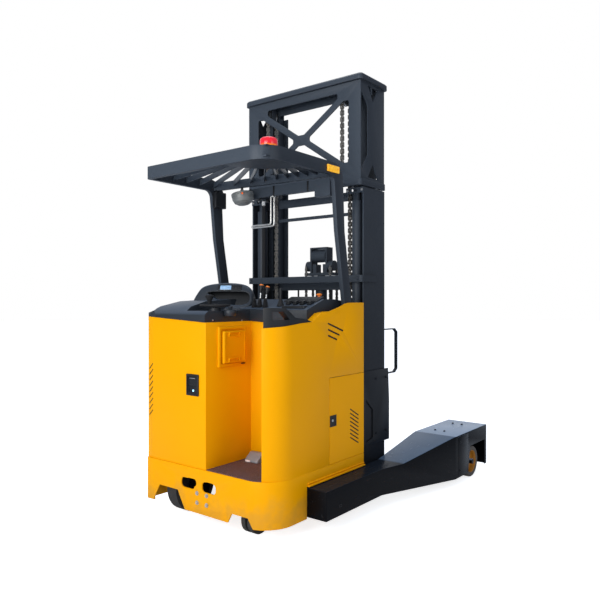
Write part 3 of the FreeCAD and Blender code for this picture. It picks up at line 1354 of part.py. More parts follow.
build()
check()
for label, obj in PIECES.items():
    obj.Shape.exportStep(os.path.join("parts", label + ".step"))
print(len(PIECES), "sub-parts written")
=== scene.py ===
# A stand-on reach truck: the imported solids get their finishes, and the small parts that a
# drawing of the chassis leaves out are modelled and fixed where they belong.
import math

import bpy
from mathutils import Matrix, Vector


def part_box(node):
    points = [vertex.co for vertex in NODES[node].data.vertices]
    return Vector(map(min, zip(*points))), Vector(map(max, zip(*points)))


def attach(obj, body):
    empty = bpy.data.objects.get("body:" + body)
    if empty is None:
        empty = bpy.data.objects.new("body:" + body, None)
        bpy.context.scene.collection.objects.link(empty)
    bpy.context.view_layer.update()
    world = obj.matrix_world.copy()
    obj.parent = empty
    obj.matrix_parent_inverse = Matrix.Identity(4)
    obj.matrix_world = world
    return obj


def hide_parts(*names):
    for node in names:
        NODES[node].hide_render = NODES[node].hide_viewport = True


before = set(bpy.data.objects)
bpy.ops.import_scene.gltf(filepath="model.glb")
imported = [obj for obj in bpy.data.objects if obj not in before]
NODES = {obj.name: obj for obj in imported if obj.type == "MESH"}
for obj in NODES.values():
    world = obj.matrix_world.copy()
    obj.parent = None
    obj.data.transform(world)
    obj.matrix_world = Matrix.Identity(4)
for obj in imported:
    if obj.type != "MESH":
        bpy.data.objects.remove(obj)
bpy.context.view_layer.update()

bpy.ops.object.select_all(action="DESELECT")


# The studio: a pale floor, a white surround, a broad key lamp behind the truck and three softer
# ones, with the camera at a standing person's shoulder height.
HORIZON, OVERHEAD, BEYOND = (0.12, 0.12, 0.13, 1), (0.34, 0.43, 0.58, 1), (0.92, 0.95, 1.0, 1)
TOWARDS_BEYOND = (0.74, 0.67, 0.0)
GLOSS_SHARE = 0.12


def studio_sky(tree):
    """White to the eye; as light, dim round the horizon and blue-grey overhead and beyond.

    Gloss sees the white surround by its share, and this dimmer sky for the rest.
    """
    make, join = tree.nodes.new, tree.links.new
    rays, place = make("ShaderNodeLightPath"), make("ShaderNodeTexCoord")
    split, dot = make("ShaderNodeSeparateXYZ"), make("ShaderNodeVectorMath")
    join(place.outputs["Generated"], split.inputs[0])
    join(place.outputs["Generated"], dot.inputs[0])
    dot.operation = "DOT_PRODUCT"
    dot.inputs[1].default_value = TOWARDS_BEYOND
    seen, white = make("ShaderNodeMath"), make("ShaderNodeMath")
    join(rays.outputs["Is Camera Ray"], seen.inputs[0])
    join(rays.outputs["Is Transmission Ray"], seen.inputs[1])
    white.operation = "MULTIPLY_ADD"
    join(rays.outputs["Is Glossy Ray"], white.inputs[0])
    white.inputs[1].default_value = GLOSS_SHARE
    join(seen.outputs[0], white.inputs[2])
    colour = None
    for source, low, high, bright in ((split.outputs["Z"], 0.02, 0.6, OVERHEAD),
                                      (dot.outputs["Value"], 0.5, 0.9, BEYOND),
                                      (white.outputs[0], 0, 1, (1, 1, 1, 1))):
        fade, mixed = make("ShaderNodeMapRange"), make("ShaderNodeMix")
        mixed.data_type = "RGBA"
        fade.inputs["From Min"].default_value = low
        fade.inputs["From Max"].default_value = high
        join(source, fade.inputs["Value"])
        join(fade.outputs[0], mixed.inputs["Factor"])
        mixed.inputs[7].default_value = bright
        if colour is None:
            mixed.inputs[6].default_value = HORIZON
        else:
            join(colour, mixed.inputs[6])
        colour = mixed.outputs[2]
    return colour


world = bpy.data.worlds.new("studio")
bpy.context.scene.world = world
world.use_nodes = True
surround = world.node_tree.nodes["Background"]
world.node_tree.links.new(studio_sky(world.node_tree), surround.inputs["Color"])

rear_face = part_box("hood_shell")[0].x
EYE_BACK, EYE_RIGHT, EYE_HEIGHT = 2.675, 2.845, 1.425
UPRIGHT, HEADING = math.radians(90), math.radians(38.01)
camera_data = bpy.data.cameras.new("camera")
camera_data.lens = 37.17
camera_data.sensor_width = 36
camera = bpy.data.objects.new("camera", camera_data)
camera.location = (rear_face - EYE_BACK, -EYE_RIGHT, EYE_HEIGHT)
camera.rotation_euler = (UPRIGHT, 0, HEADING - UPRIGHT)
bpy.context.collection.objects.link(camera)
bpy.context.scene.camera = camera

MIDDLE = Vector((0, 0, 1.1))


def lamp(name, place, size, watts):
    """A square area lamp that faces the middle of the truck."""
    light = bpy.data.lights.new(name, "AREA")
    light.size = size
    light.energy = watts
    stand = bpy.data.objects.new(name, light)
    stand.location = place
    stand.rotation_euler = (MIDDLE - Vector(place)).to_track_quat("-Z", "Y").to_euler()
    bpy.context.collection.objects.link(stand)


lamp("key", (-6.0, -0.4, 2.6), 3.2, 188)
lamp("side", (-1.4, -6.0, 3.0), 3.0, 48)
lamp("fill", (-5.2, -2.6, 1.6), 1.8, 30)
lamp("top", (0.0, 0.4, 6.0), 3.0, 70)

bpy.context.scene.view_settings.view_transform = "Standard"


# Yellow bodywork: pressed and welded sheet, powder coated, with a fine orange peel, a little
# dust that gathers towards the floor and faint rubbed patches.
class Mix:
    """A shader value: sums, products and differences of it add their own nodes."""

    def __init__(self, tree, socket):
        self.tree, self.socket = tree, socket

    def _with(self, sign, left, right):
        node = self.tree.nodes.new("ShaderNodeMath")
        node.operation = sign
        for place, value in zip(node.inputs, (left, right)):
            if isinstance(value, Mix):
                self.tree.links.new(value.socket, place)
            else:
                place.default_value = value
        return Mix(self.tree, node.outputs[0])

    def __add__(self, other): return self._with("ADD", self, other)
    def __radd__(self, other): return self._with("ADD", other, self)
    def __rsub__(self, other): return self._with("SUBTRACT", other, self)
    def __mul__(self, other): return self._with("MULTIPLY", self, other)
    def __rmul__(self, other): return self._with("MULTIPLY", other, self)


class Finish:
    """One surface finish: a Principled shader whose varying inputs come from node patterns."""

    def __init__(self, name, roughness=0.5, metallic=0.0, **constants):
        self.material = bpy.data.materials.new(name)
        self.material.use_nodes = True
        self.tree = self.material.node_tree
        self.shader = self.tree.nodes["Principled BSDF"]
        self.shader.inputs["Roughness"].default_value = roughness
        self.shader.inputs["Metallic"].default_value = metallic
        for socket, value in constants.items():
            self.shader.inputs[socket.replace("_", " ")].default_value = value
        self.place = self.node("ShaderNodeTexCoord").outputs["Object"]

    def node(self, kind, settings=(), **sockets):
        """Adds a node: its settings first, then the values or links of its sockets."""
        made = self.tree.nodes.new(kind)
        for key, value in dict(settings).items():
            setattr(made, key, value)
        for key, value in sockets.items():
            names = [s for s in made.inputs if s.enabled and s.name == key.replace("_", " ")]
            self.feed(names[0], value)
        return made

    def feed(self, socket, value):
        if isinstance(value, Mix):
            self.tree.links.new(value.socket, socket)
        elif isinstance(value, bpy.types.NodeSocket):
            self.tree.links.new(value, socket)
        elif socket.type == "RGBA" and len(value) == 3:
            socket.default_value = (*value, 1)
        else:
            socket.default_value = value

    def noise(self, scale, detail=3.0, rough=0.55, stretch=None):
        """Noise from 0 to 1 at so many patches to the metre."""
        place = self.place
        if stretch:
            place = self.node("ShaderNodeMapping", Vector=place, Scale=stretch).outputs[0]
        made = self.node("ShaderNodeTexNoise", Vector=place, Scale=scale, Detail=detail,
                         Roughness=rough)
        return Mix(self.tree, made.outputs["Fac"])

    def step(self, value, low, high):
        """Fades from 0 at low to 1 at high."""
        made = self.node("ShaderNodeMapRange", {"interpolation_type": "SMOOTHSTEP"}, Value=value,
                         From_Min=low, From_Max=high)
        return Mix(self.tree, made.outputs[0])

    def along(self, axis):
        """Distance along X, Y or Z in metres."""
        return Mix(self.tree, self.node("ShaderNodeSeparateXYZ", Vector=self.place).outputs[axis])

    def tint(self, factor, low, high):
        """A colour between two others."""
        made = self.node("ShaderNodeMix", {"data_type": "RGBA"}, Factor=factor, A=low, B=high)
        return made.outputs[2]

    def facing(self, axis, sign=1):
        """1 on what faces along the axis, 0 on what stands across it."""
        turned = self.node("ShaderNodeTexCoord").outputs["Normal"]
        level = self.node("ShaderNodeSeparateXYZ", Vector=turned).outputs[axis]
        return self.step(level, sign * 0.35, sign * 0.95)

    def skin(self, colour, roughness=None, bumps=None, strength=0.2, depth=0.0005):
        self.feed(self.shader.inputs["Base Color"], colour)
        if roughness is not None:
            self.feed(self.shader.inputs["Roughness"], roughness)
        if bumps is not None:
            bump = self.node("ShaderNodeBump", Strength=strength, Distance=depth, Height=bumps)
            self.feed(self.shader.inputs["Normal"], bump.outputs[0])
        return self.material


def coat(nodes, material):
    """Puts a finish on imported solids."""
    for name in nodes:
        for slot in NODES[name].material_slots:
            slot.material = material


def body_paint():
    paint = Finish("yellow_paint", 0.4, Specular_IOR_Level=0.06)
    broad, fine = paint.noise(2.2), paint.noise(240, 2)
    low_down = 1 - paint.step(paint.along("Z"), 0.08, 0.55)
    dust = paint.step(paint.noise(9, 5) * low_down, 0.3, 0.62)
    colour = paint.tint(broad, (0.87, 0.366, 0.0), (0.94, 0.400, 0.001))
    colour = paint.tint(dust * 0.3, colour, (0.42, 0.25, 0.07))
    return paint.skin(colour, 0.34 + 0.12 * broad + 0.25 * dust, fine, 0.12, 0.0006)


yellow = body_paint()
coat(("battery_door",), yellow)


# Bumper bolts: four zinc-plated hexagon heads on washers, in the holes of the rear skirt.
def mm(x, y, z):
    """A point on the drawing: millimetres from the hood's rear face, the middle and the floor."""
    return Vector((x / 1000 + rear_face, y / 1000, z / 1000))


def hold(*pieces):
    """Selects these pieces alone, the first of them active."""
    bpy.ops.object.select_all(action="DESELECT")
    for piece in pieces:
        piece.select_set(True)
    bpy.context.view_layer.objects.active = pieces[0]


def joined(parts):
    """The parts as one object, the first of them."""
    hold(*parts)
    if len(parts) > 1:
        bpy.ops.object.join()
    return bpy.context.object


def lathe(profile, centre, axis=(0, 0, 1), steps=32):
    """A solid turned about an axis from pairs of radius and height in millimetres."""
    mesh = bpy.data.meshes.new("profile")
    points = [(radius / 1000, 0, height / 1000) for radius, height in profile]
    mesh.from_pydata(points, [(k, k + 1) for k in range(len(points) - 1)], [])
    piece = bpy.data.objects.new("turned", mesh)
    bpy.context.collection.objects.link(piece)
    hold(piece)
    bpy.ops.object.mode_set(mode="EDIT")
    bpy.ops.mesh.select_all(action="SELECT")
    bpy.ops.mesh.spin(steps=steps, angle=2 * math.pi, center=(0, 0, 0), axis=(0, 0, 1))
    bpy.ops.mesh.select_all(action="SELECT")
    bpy.ops.mesh.remove_doubles(threshold=1e-5)
    bpy.ops.object.mode_set(mode="OBJECT")
    piece.rotation_euler = Vector((0, 0, 1)).rotation_difference(Vector(axis)).to_euler()
    piece.location = mm(*centre)
    bpy.ops.object.transform_apply(location=True, rotation=True, scale=True)
    return piece


def copies(piece, steps):
    """The piece and a copy of it at each further step, with meshes of their own."""
    made = [piece]
    for step in steps:
        again = piece.copy()
        again.data = piece.data.copy()
        again.data.transform(Matrix.Translation(Vector(step) / 1000))
        bpy.context.collection.objects.link(again)
        made.append(again)
    return made


def fit(name, parts, material, body, stands_for=(), smooth=35):
    """Joins parts into one finished piece on a body."""
    piece = joined(parts)
    piece.name = name
    bpy.ops.object.mode_set(mode="EDIT")
    bpy.ops.mesh.select_all(action="SELECT")
    bpy.ops.mesh.normals_make_consistent(inside=False)
    bpy.ops.object.mode_set(mode="OBJECT")
    bpy.ops.object.shade_smooth_by_angle(angle=math.radians(smooth))
    piece.data.materials.clear()
    piece.data.materials.append(material)
    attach(piece, body)
    if stands_for:
        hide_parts(*stands_for)
    bpy.ops.object.select_all(action="DESELECT")


def plated_steel():
    zinc = Finish("zinc_plate", 0.3, 1.0)
    cloud, fine = zinc.noise(60), zinc.noise(400, 2)
    colour = zinc.tint(cloud, (0.46, 0.47, 0.48), (0.66, 0.66, 0.65))
    return zinc.skin(colour, 0.24 + 0.2 * cloud, fine, 0.1, 0.0002)


zinc = plated_steel()


def bolt(centre, axis, size=6.0):
    """A hexagon head on its washer."""
    head = lathe([(0, 0), (size * 1.25, 0), (size * 1.25, size * 0.2), (0, size * 0.2)], centre,
                 axis, 20)
    cap = lathe([(0, size * 0.2), (size * 0.9, size * 0.2), (size * 0.9, size * 0.75),
                 (size * 0.75, size * 0.9), (0, size * 0.9)], centre, axis, 6)
    return joined([head, cap])


bumper_bolts = copies(bolt((-6, -25, 152), (-1, 0, 0), 11), [(0, 0, 59), (0, 86, 0), (0, 86, 59)])
fit("bumper_bolts", bumper_bolts, zinc, "chassis")


# Door lock: a black moulded plate let into the battery door, with a plated key barrel.
def block(x, y, z, edge=2.0, steps=2):
    """A bar or plate between pairs of coordinates with its edges rounded."""
    low, high = mm(x[0], y[0], z[0]), mm(x[1], y[1], z[1])
    bpy.ops.object.select_all(action="DESELECT")
    bpy.ops.mesh.primitive_cube_add(size=1, location=(low + high) / 2)
    piece = bpy.context.object
    piece.scale = high - low
    bpy.ops.object.transform_apply(location=True, rotation=False, scale=True)
    if edge:
        bpy.ops.object.mode_set(mode="EDIT")
        bpy.ops.mesh.bevel(offset=edge / 1000, segments=steps, affect="EDGES")
        bpy.ops.object.mode_set(mode="OBJECT")
    return piece


def pick(piece, test):
    """Opens a piece for editing with the faces that pass the test selected."""
    hold(piece)
    bpy.ops.object.mode_set(mode="EDIT")
    bpy.ops.mesh.select_mode(type="FACE")
    bpy.ops.mesh.select_all(action="DESELECT")
    bpy.ops.object.mode_set(mode="OBJECT")
    for face in piece.data.polygons:
        face.select = test(face)
    bpy.ops.object.mode_set(mode="EDIT")


def sink(piece, towards, rim, depth):
    """Insets the largest face that looks one way by the rim and pushes it in."""
    towards = Vector(towards)
    facing = [face for face in piece.data.polygons if face.normal.dot(towards) > 0.99]
    largest = max(facing, key=lambda face: face.area).index
    pick(piece, lambda face: face.index == largest)
    bpy.ops.mesh.inset(thickness=rim / 1000)
    bpy.ops.mesh.extrude_region_move(
        TRANSFORM_OT_translate={"value": -towards * depth / 1000})
    bpy.ops.object.mode_set(mode="OBJECT")
    return piece


def black_plastic():
    plastic = Finish("black_plastic", 0.5, Specular_IOR_Level=0.35)
    grain, broad = plastic.noise(500, 2), plastic.noise(9)
    colour = plastic.tint(broad, (0.005, 0.006, 0.007), (0.011, 0.012, 0.014))
    return plastic.skin(colour, 0.40 + 0.14 * broad, grain, 0.3, 0.0004)


dark_plastic = black_plastic()

lock_plate = sink(block((577, 650), (-549, -545), (606, 680), 2), (0, -1, 0), 5, 1.2)
fit("door_lock_plate", [lock_plate], dark_plastic, "side_door")
barrel = lathe([(0, 4.5), (3.5, 4.5), (3.5, 3), (8, 3), (9, 2), (9, 0), (0, 0)],
               (606, -547.5, 646), (0, -1, 0), 24)
fit("door_lock_barrel", [barrel], zinc, "side_door")


# Document holder: a folded yellow pocket spot-welded to the inner wall of the operator's bay,
# with a thumb notch in its upper and lower edges and a dark drain slot at its foot.
pocket = block((96, 345), (-30, -10.5), (997, 1256), 6, 3)
sink(pocket, (0, -1, 0), 12, 10)
shelf = block((126, 330), (-46, -20), (1020, 1226), 7, 3)
sink(shelf, (0, -1, 0), 10, 3)
notch = sink(block((166, 268), (-52, -41), (1024, 1054), 3, 2), (0, -1, 0), 3, 10)
notches = copies(notch, [(0, 0, 166)])
fit("document_holder", [pocket, shelf, *notches], yellow, "chassis")
slot = block((296, 334), (-33, -29), (1004, 1013), 1.5, 2)
fit("holder_slot", [slot], dark_plastic, "chassis")


# Charging socket: a black bezel screwed to the rear panel, with a display under a plated latch
# bar and a small pilot lamp in the plug opening.
bezel = sink(block((-11, 0), (49, 161), (819, 956), 5.4, 4), (-1, 0, 0), 9, 7)
screen = sink(block((-8.5, -3), (68, 142), (888, 940), 2, 2), (-1, 0, 0), 5, 2)
socket_rim = sink(block((-9.5, -3), (66, 144), (832, 876), 3, 2), (-1, 0, 0), 6, 4)
fit("charge_bezel", [bezel, screen, socket_rim], dark_plastic, "chassis", ("charge_port",))
fit("charge_latch", [block((-10.5, -6), (80, 130), (928, 932), 1, 2)], zinc, "chassis")


def pilot_glow():
    glow = Finish("pilot_lamp", 0.2, Emission_Strength=1.2)
    spot = glow.noise(180, 2)
    glow.feed(glow.shader.inputs["Emission Color"],
              glow.tint(spot, (0.1, 0.45, 0.75), (0.5, 0.8, 1)))
    return glow.skin(glow.tint(spot, (0.2, 0.5, 0.8), (0.6, 0.85, 1.0)))


pilot = lathe([(0, 5), (5, 4), (8, 0), (0, 0)], (-5, 98, 852), (-1, 0, 0), 20)
fit("charge_pilot_lamp", [pilot], pilot_glow(), "chassis")


# Console: a deep moulded cover in dark blue-grey plastic with a leather grain and well rounded
# edges, its upward faces painted lighter as a painted reflection of the sky. Its top slopes up
# from the bay, its left side is bevelled, and it is screwed down.
def moulded_plastic():
    plastic = Finish("console_plastic", 0.45, Specular_IOR_Level=0.4)
    grain, broad = plastic.noise(420, 2), plastic.noise(6)
    colour = plastic.tint(broad, (0.013, 0.017, 0.022), (0.020, 0.025, 0.032))
    # Painted reflection: faces that look up are tinted a lighter blue-grey, standing in for the sky
    # seen in them.
    colour = plastic.tint(plastic.facing("Z") * 0.85, colour, (0.062, 0.083, 0.115))
    return plastic.skin(colour, 0.38 + 0.12 * broad, grain, 0.35, 0.0004)


console_plastic = moulded_plastic()
coat(("steering_column",), console_plastic)


def turn(piece, degrees, axis, about):
    """Turns a piece about a point of the drawing."""
    hold(piece)
    bpy.ops.transform.rotate(value=-math.radians(degrees), orient_axis=axis,
                             center_override=mm(*about))
    bpy.ops.object.transform_apply(location=True, rotation=True, scale=True)
    return piece


LEFT_SIDE, OUTWARD = 0.53, 0.010


def softened(node, radius, segments=3, cutters=(), corner=None):
    """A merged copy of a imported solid, cut where asked, with its edges rounded.

    corner draws back the upright edge of the left side that lies between its first two
    numbers, by its third, in millimetres: the body's left rear corner is nearly square.
    """
    piece = NODES[node].copy()
    piece.data = NODES[node].data.copy()
    piece.parent = None
    bpy.context.collection.objects.link(piece)
    pick(piece, lambda face: True)
    bpy.ops.mesh.remove_doubles(threshold=2e-5)
    bpy.ops.mesh.dissolve_limited(angle_limit=math.radians(0.6))
    if corner:
        near, far, back = corner
        bpy.ops.mesh.select_all(action="DESELECT")
        bpy.ops.mesh.select_mode(type="VERT")
        bpy.ops.object.mode_set(mode="OBJECT")
        for point in piece.data.vertices:
            point.select = (mm(near, 0, 0).x < point.co.x < mm(far, 0, 0).x
                            and point.co.y > LEFT_SIDE)
        bpy.ops.object.mode_set(mode="EDIT")
        bpy.ops.transform.translate(value=(-back / 1000, OUTWARD, 0))
    bpy.ops.object.mode_set(mode="OBJECT")
    for cutter in cutters:
        cut = piece.modifiers.new("cut", "BOOLEAN")
        cut.object = cutter
        bpy.ops.object.modifier_apply(modifier="cut")
        bpy.data.objects.remove(cutter)
    rounding = piece.modifiers.new("rounding", "BEVEL")
    rounding.width = radius / 1000
    rounding.segments = segments
    rounding.limit_method = "ANGLE"
    rounding.angle_limit = math.radians(28)
    bpy.ops.object.modifier_apply(modifier="rounding")
    return piece


BAY_FRONT, LIP_LOW, SLOPE, BEVEL = 409, 1362, 20, 36
slope_cut = turn(block((BAY_FRONT, 609), (-700, 190), (LIP_LOW, 1600), 0), -SLOPE, "Y",
                 (BAY_FRONT, 0, LIP_LOW))
tray_cut = block((-60, BAY_FRONT + 9), (-60, 190.5), (LIP_LOW - 4, 1600), 0)
side_cut = turn(block((-40, 640), (300, 800), (1338, 1700), 0), -BEVEL, "X", (0, 556, 1338))
console_cuts = (slope_cut, tray_cut, side_cut)
fit("console", [softened("console_cover", 8, 4, console_cuts, (60, 110, 75))],
    console_plastic, "chassis", ("console_cover",), 40)


# Hood, tub and side column: thick sheet folded to small radii, welded and powder coated, with
# two round-ended towing openings in the tub's skirt.
fit("hood", [softened("hood_shell", 2.5, 2, (), (54, 72, 57))], yellow, "chassis",
    ("hood_shell",))
tow_cuts = [block((-60, 80), ends, (228, 292), 26, 5) for ends in ((84, 210), (-104, 18))]
fit("tub", [softened("chassis_frame", 2.5, 2, tow_cuts, (48, 66, 57))], yellow, "chassis",
    ("chassis_frame",))
fit("side_column", [softened("right_panel", 3, 2)], yellow, "chassis", ("right_panel",))


# Grip moulding: the thick black hand-hold bolted on top of the side column, with a D opening.
fit("grip_moulding", [softened("grab_handle", 9, 4)], dark_plastic, "chassis",
    ("grab_handle",), 45)


# Instrument pod: a domed moulding that leans back from the operator, with a deep tray under
# its display and a thick rolled lip round the tray. It stands on a ledge of the console, turned
# to look towards the operator's bay.
def loft(rings):
    """A closed shell through rings of equally many points, smoothed by subdivision."""
    count = len(rings[0])
    points = [mm(*point) for ring in rings for point in ring]
    faces = [list(range(count))[::-1], [len(points) - count + k for k in range(count)]]
    for r in range(len(rings) - 1):
        for k in range(count):
            near, far = r * count, (r + 1) * count
            faces.append([near + k, near + (k + 1) % count, far + (k + 1) % count, far + k])
    mesh = bpy.data.meshes.new("loft")
    mesh.from_pydata(points, [], faces)
    shell = bpy.data.objects.new("loft", mesh)
    bpy.context.collection.objects.link(shell)
    hold(shell)
    smoothing = shell.modifiers.new("smoothing", "SUBSURF")
    smoothing.levels = smoothing.render_levels = 2
    bpy.ops.object.modifier_apply(modifier="smoothing")
    return shell


def pod_face(height):
    """How far forward the pod's leaning face stands at a height."""
    return 425 + 0.42 * (height - 1360)


crown = [(500, 1400), (482, 1440), (458, 1484), (428, 1524), (330, 1541), (220, 1547),
         (110, 1540), (44, 1520), (8, 1464), (2, 1408), (22, 1372), (90, 1362), (200, 1360),
         (310, 1362), (420, 1366), (480, 1378)]
tray = [(372, 1466), (378, 1474), (368, 1481), (330, 1483), (270, 1484), (205, 1484),
        (130, 1483), (70, 1481), (42, 1468), (33, 1435), (43, 1402), (80, 1390), (140, 1388),
        (210, 1394), (280, 1418), (345, 1452)]


POD_MIDDLE, POD_HALF = (250, 1450), (250, 90)


def ring(outline, forward, spread=0.0, drop=0.0):
    """The outline laid on the leaning face, moved forward, spread from its middle, lowered."""
    return [(pod_face(z) + forward,
             60 + 0.88 * y + spread * (y - POD_MIDDLE[0]) / POD_HALF[0],
             z + spread * (z - POD_MIDDLE[1]) / POD_HALF[1] - drop * max(0, z - 1400) / 140)
            for y, z in outline]


def faced(piece):
    """Turns a part of the pod to look towards the operator's bay."""
    return turn(piece, 30, "Z", (515, 123, 0))


shell = loft([ring(tray, 84, -4), ring(tray, 80), ring(tray, 12), ring(tray, 0, 2),
              ring(tray, -2, 8), ring(crown, -2, -10), ring(crown, 4, -1), ring(crown, 26, 1),
              ring(crown, 90, 1, 12), ring(crown, 170, -20, 60), ring(crown, 190, -60, 90)])
fit("binnacle", [faced(shell)], console_plastic, "chassis", ("dash_binnacle",), 60)
ledge = block((416, 600), (66, 492), (1330, 1374), 14, 4)
fit("pod_ledge", [faced(ledge)], console_plastic, "chassis", (), 50)
# Painted shade: a darker plastic than the pod lines the deep tray, standing in for the shade inside
# it.
tray_shade = loft([ring(tray, 72, 0), ring(tray, 68, 0), ring(tray, 68, -6)])
fit("tray_painted_shade", [faced(tray_shade)], dark_plastic, "chassis", (), 50)
screw = lathe([(0, 2), (3, 1.6), (5.5, 0), (0, 0)], (66, -6, 1297), (0, -1, 0), 16)
screws = copies(screw, [(266, 0, -7)])
fit("console_screws", screws, zinc, "chassis")


# Display: a tinted window in the crown of the binnacle, with a grey panel lit from behind.
def display_glass():
    glass = Finish("display_glass", 0.12, Emission_Strength=0.35)
    rows = glass.step(glass.noise(90, 2, stretch=(0.2, 0.4, 3)), 0.5, 0.58)
    colour = glass.tint(rows, (0.20, 0.34, 0.52), (0.34, 0.50, 0.68))
    glass.feed(glass.shader.inputs["Emission Color"], colour)
    return glass.skin(colour)


def leant(piece):
    """Leans a part of the display back with the crown, and faces it with the pod."""
    return faced(turn(piece, 22.8, "Y", (487, 0, 1510)))


window = sink(block((483, 490), (152, 322), (1488, 1531), 5, 3), (-1, 0, 0), 4, 1.5)
keys = copies(block((482, 487), (162, 175), (1503, 1519), 2, 2), [(0, 20, 0), (0, 40, 0)])
fit("display_bezel", [leant(part) for part in (window, *keys)], dark_plastic, "chassis")
panel = block((482, 486), (226, 304), (1495, 1526), 1, 2)
fit("display_panel", [leant(panel)], display_glass(), "chassis")


# Lift levers: plated stems in pleated rubber boots with orange-tipped black knobs, a boot whose
# stem is hidden, and the longer travel lever in its conical boot.
def soft_rubber():
    rubber = Finish("soft_rubber", 0.7, Specular_IOR_Level=0.3)
    grain, broad = rubber.noise(300, 3), rubber.noise(12)
    colour = rubber.tint(broad, (0.007, 0.007, 0.008), (0.016, 0.016, 0.017))
    return rubber.skin(colour, 0.6 + 0.2 * broad, grain, 0.3, 0.0004)


def orange_plastic():
    plastic = Finish("orange_plastic", 0.35)
    grain, broad = plastic.noise(400, 2), plastic.noise(30)
    colour = plastic.tint(broad, (0.80, 0.17, 0.01), (0.95, 0.27, 0.02))
    return plastic.skin(colour, 0.3 + 0.15 * broad, grain, 0.15, 0.0002)


rubber, orange = soft_rubber(), orange_plastic()
pleats = [(0, 0)]
for fold in range(7):
    pleats += [(23 - 1.6 * fold, 8 * fold), (18 - 1.6 * fold, 8 * fold + 4)]
pleats += [(9, 60), (5, 62), (0, 62)]
STEM_X, STEM_FOOT = 456, 1424
boots = copies(lathe(pleats, (452, -8, 1376), steps=20), [(0, -48, 0), (0, -98, 0)])
stems, knobs, tips = [], [], []
for y, tilt, high in ((-56, 8, 1474), (-106, 14, 1462)):
    foot = (STEM_X, y, STEM_FOOT)
    stem = lathe([(0, 0), (4.5, 0), (4.5, 75), (0, 75)], foot, steps=12)
    stems.append(turn(stem, tilt, "Y", foot))
    knob = lathe([(0, 0), (7, 0), (9, 8), (13, 28), (15, 44), (14, 50), (0, 50)],
                 (STEM_X, y, high), steps=20)
    knobs.append(turn(knob, tilt, "Y", foot))
    tip = lathe([(0, 50), (14, 50), (14.5, 53), (11, 58), (0, 60)], (STEM_X, y, high), steps=20)
    tips.append(turn(tip, tilt, "Y", foot))
cone = lathe([(0, 0), (26, 0), (26, 4), (20, 16), (12, 40), (9, 56), (0, 56)], (480, -216, 1384),
             steps=24)
grip = lathe([(0, 0), (8, 0), (9, 6), (8, 20), (10, 40), (9, 76), (4, 82), (0, 82)],
             (480, -216, STEM_FOOT), steps=20)
fit("lever_boots", [*boots, cone], rubber, "chassis", ("control_levers",), 25)
fit("lever_stems", stems, zinc, "chassis")
fit("lever_knobs", [*knobs, grip], dark_plastic, "chassis")
fit("lever_tips", tips, orange, "chassis")


# Armrest: a low black pad behind a row of four rocker switches, with the emergency stop at
# its end, an orange mushroom on a yellow collar.
rest = turn(block((540, 640), (-468, -185), (1404, 1416), 8, 3), -SLOPE, "Y", (540, 0, 1410))
rail = block((428, 476), (-452, -262), (1366, 1388), 10, 4)
rocker_rim = sink(block((490, 536), (-284, -250), (1390, 1404), 3, 2), (0, 0, 1), 4, 4)
rocker = turn(block((496, 530), (-280, -254), (1397, 1413), 3, 2), 14, "Y", (513, 0, 1400))
rockers = []
for part in (rocker_rim, rocker):
    rockers += copies(turn(part, -SLOPE, "Y", (490, 0, 1392)), [(0, -58 * k, 0) for k in (1, 2, 3)])
fit("armrest", [rest, rail, *rockers], dark_plastic, "chassis", ("control_armrest",))
STOP = (660, -400, 1438)
collar = lathe([(0, 0), (21, 0), (21, 6), (12, 8), (0, 8)], STOP, steps=28)
mushroom = lathe([(0, 8), (9, 8), (9, 16), (19, 18), (21, 22), (18, 28), (8, 31), (0, 31)],
                 STOP, steps=28)
fit("stop_collar", [collar], yellow, "chassis")
fit("stop_button", [mushroom], orange, "chassis")


# Steering: a shallow disc wheel with a rolled rim and a conical spinner knob, over a small
# fixed cup on the console's recess.
disc = lathe([(0, 6), (20, 4), (26, 2), (84, 6), (92, 0), (99, 4), (99.5, 10), (95, 15),
              (86, 16), (80, 12), (28, 9), (20, 16), (12, 18), (0, 18)], (150, 62, 1382),
             steps=48)
knob = lathe([(0, 14), (10, 14), (11, 26), (17, 44), (27, 62), (29, 70), (24, 76), (0, 78)],
             (130, 92, 1382), steps=28)
spokes = copies(block((60, 128), (56, 68), (1386, 1393), 2, 2), [(104, 0, 0)])
fit("steering_disc", [disc, knob, *spokes], rubber, "steering", ("steering_wheel",), 40)
cup = lathe([(0, 0), (34, 0), (40, 10), (42, 34), (38, 40), (32, 36), (28, 8), (0, 6)],
            (182, -44, 1322), steps=32)
neck = lathe([(0, 0), (9, 0), (12, 30), (18, 44), (0, 46)], (182, -44, 1340), steps=24)
fit("console_cup", [cup, neck], console_plastic, "chassis", (), 40)


# Step mat: a rough, speckled rubber mat with ground-in dust that has turned it brown.
def mat_rubber():
    mat = Finish("step_mat", 0.85, Specular_IOR_Level=0.2)
    speckle, broad = mat.noise(170, 4, 0.8), mat.noise(8, 4)
    colour = mat.tint(mat.step(speckle, 0.42, 0.62), (0.075, 0.042, 0.036), (0.20, 0.125, 0.115))
    colour = mat.tint(mat.step(broad, 0.35, 0.75) * 0.5, colour, (0.13, 0.085, 0.095))
    return mat.skin(colour, 0.75 + 0.2 * speckle, speckle, 0.5, 0.0012)


coat(("floor_mat",), mat_rubber())


# Presence pedal: a cast grey wedge on the mat with a red-brown tread and a pale lens.
def cast_grey():
    grey = Finish("cast_grey", 0.45, 0.35)
    grain, broad = grey.noise(200, 3), grey.noise(20)
    colour = grey.tint(broad, (0.22, 0.24, 0.26), (0.36, 0.38, 0.40))
    return grey.skin(colour, 0.38 + 0.2 * broad, grain, 0.25, 0.0004)


def pale_lens():
    lens = Finish("pale_lens", 0.15, Specular_IOR_Level=0.6)
    flutes = lens.noise(90, 2, stretch=(1, 6, 1))
    return lens.skin(lens.tint(flutes, (0.80, 0.62, 0.56), (0.92, 0.84, 0.80)), None, flutes, 0.2,
                     0.0004)


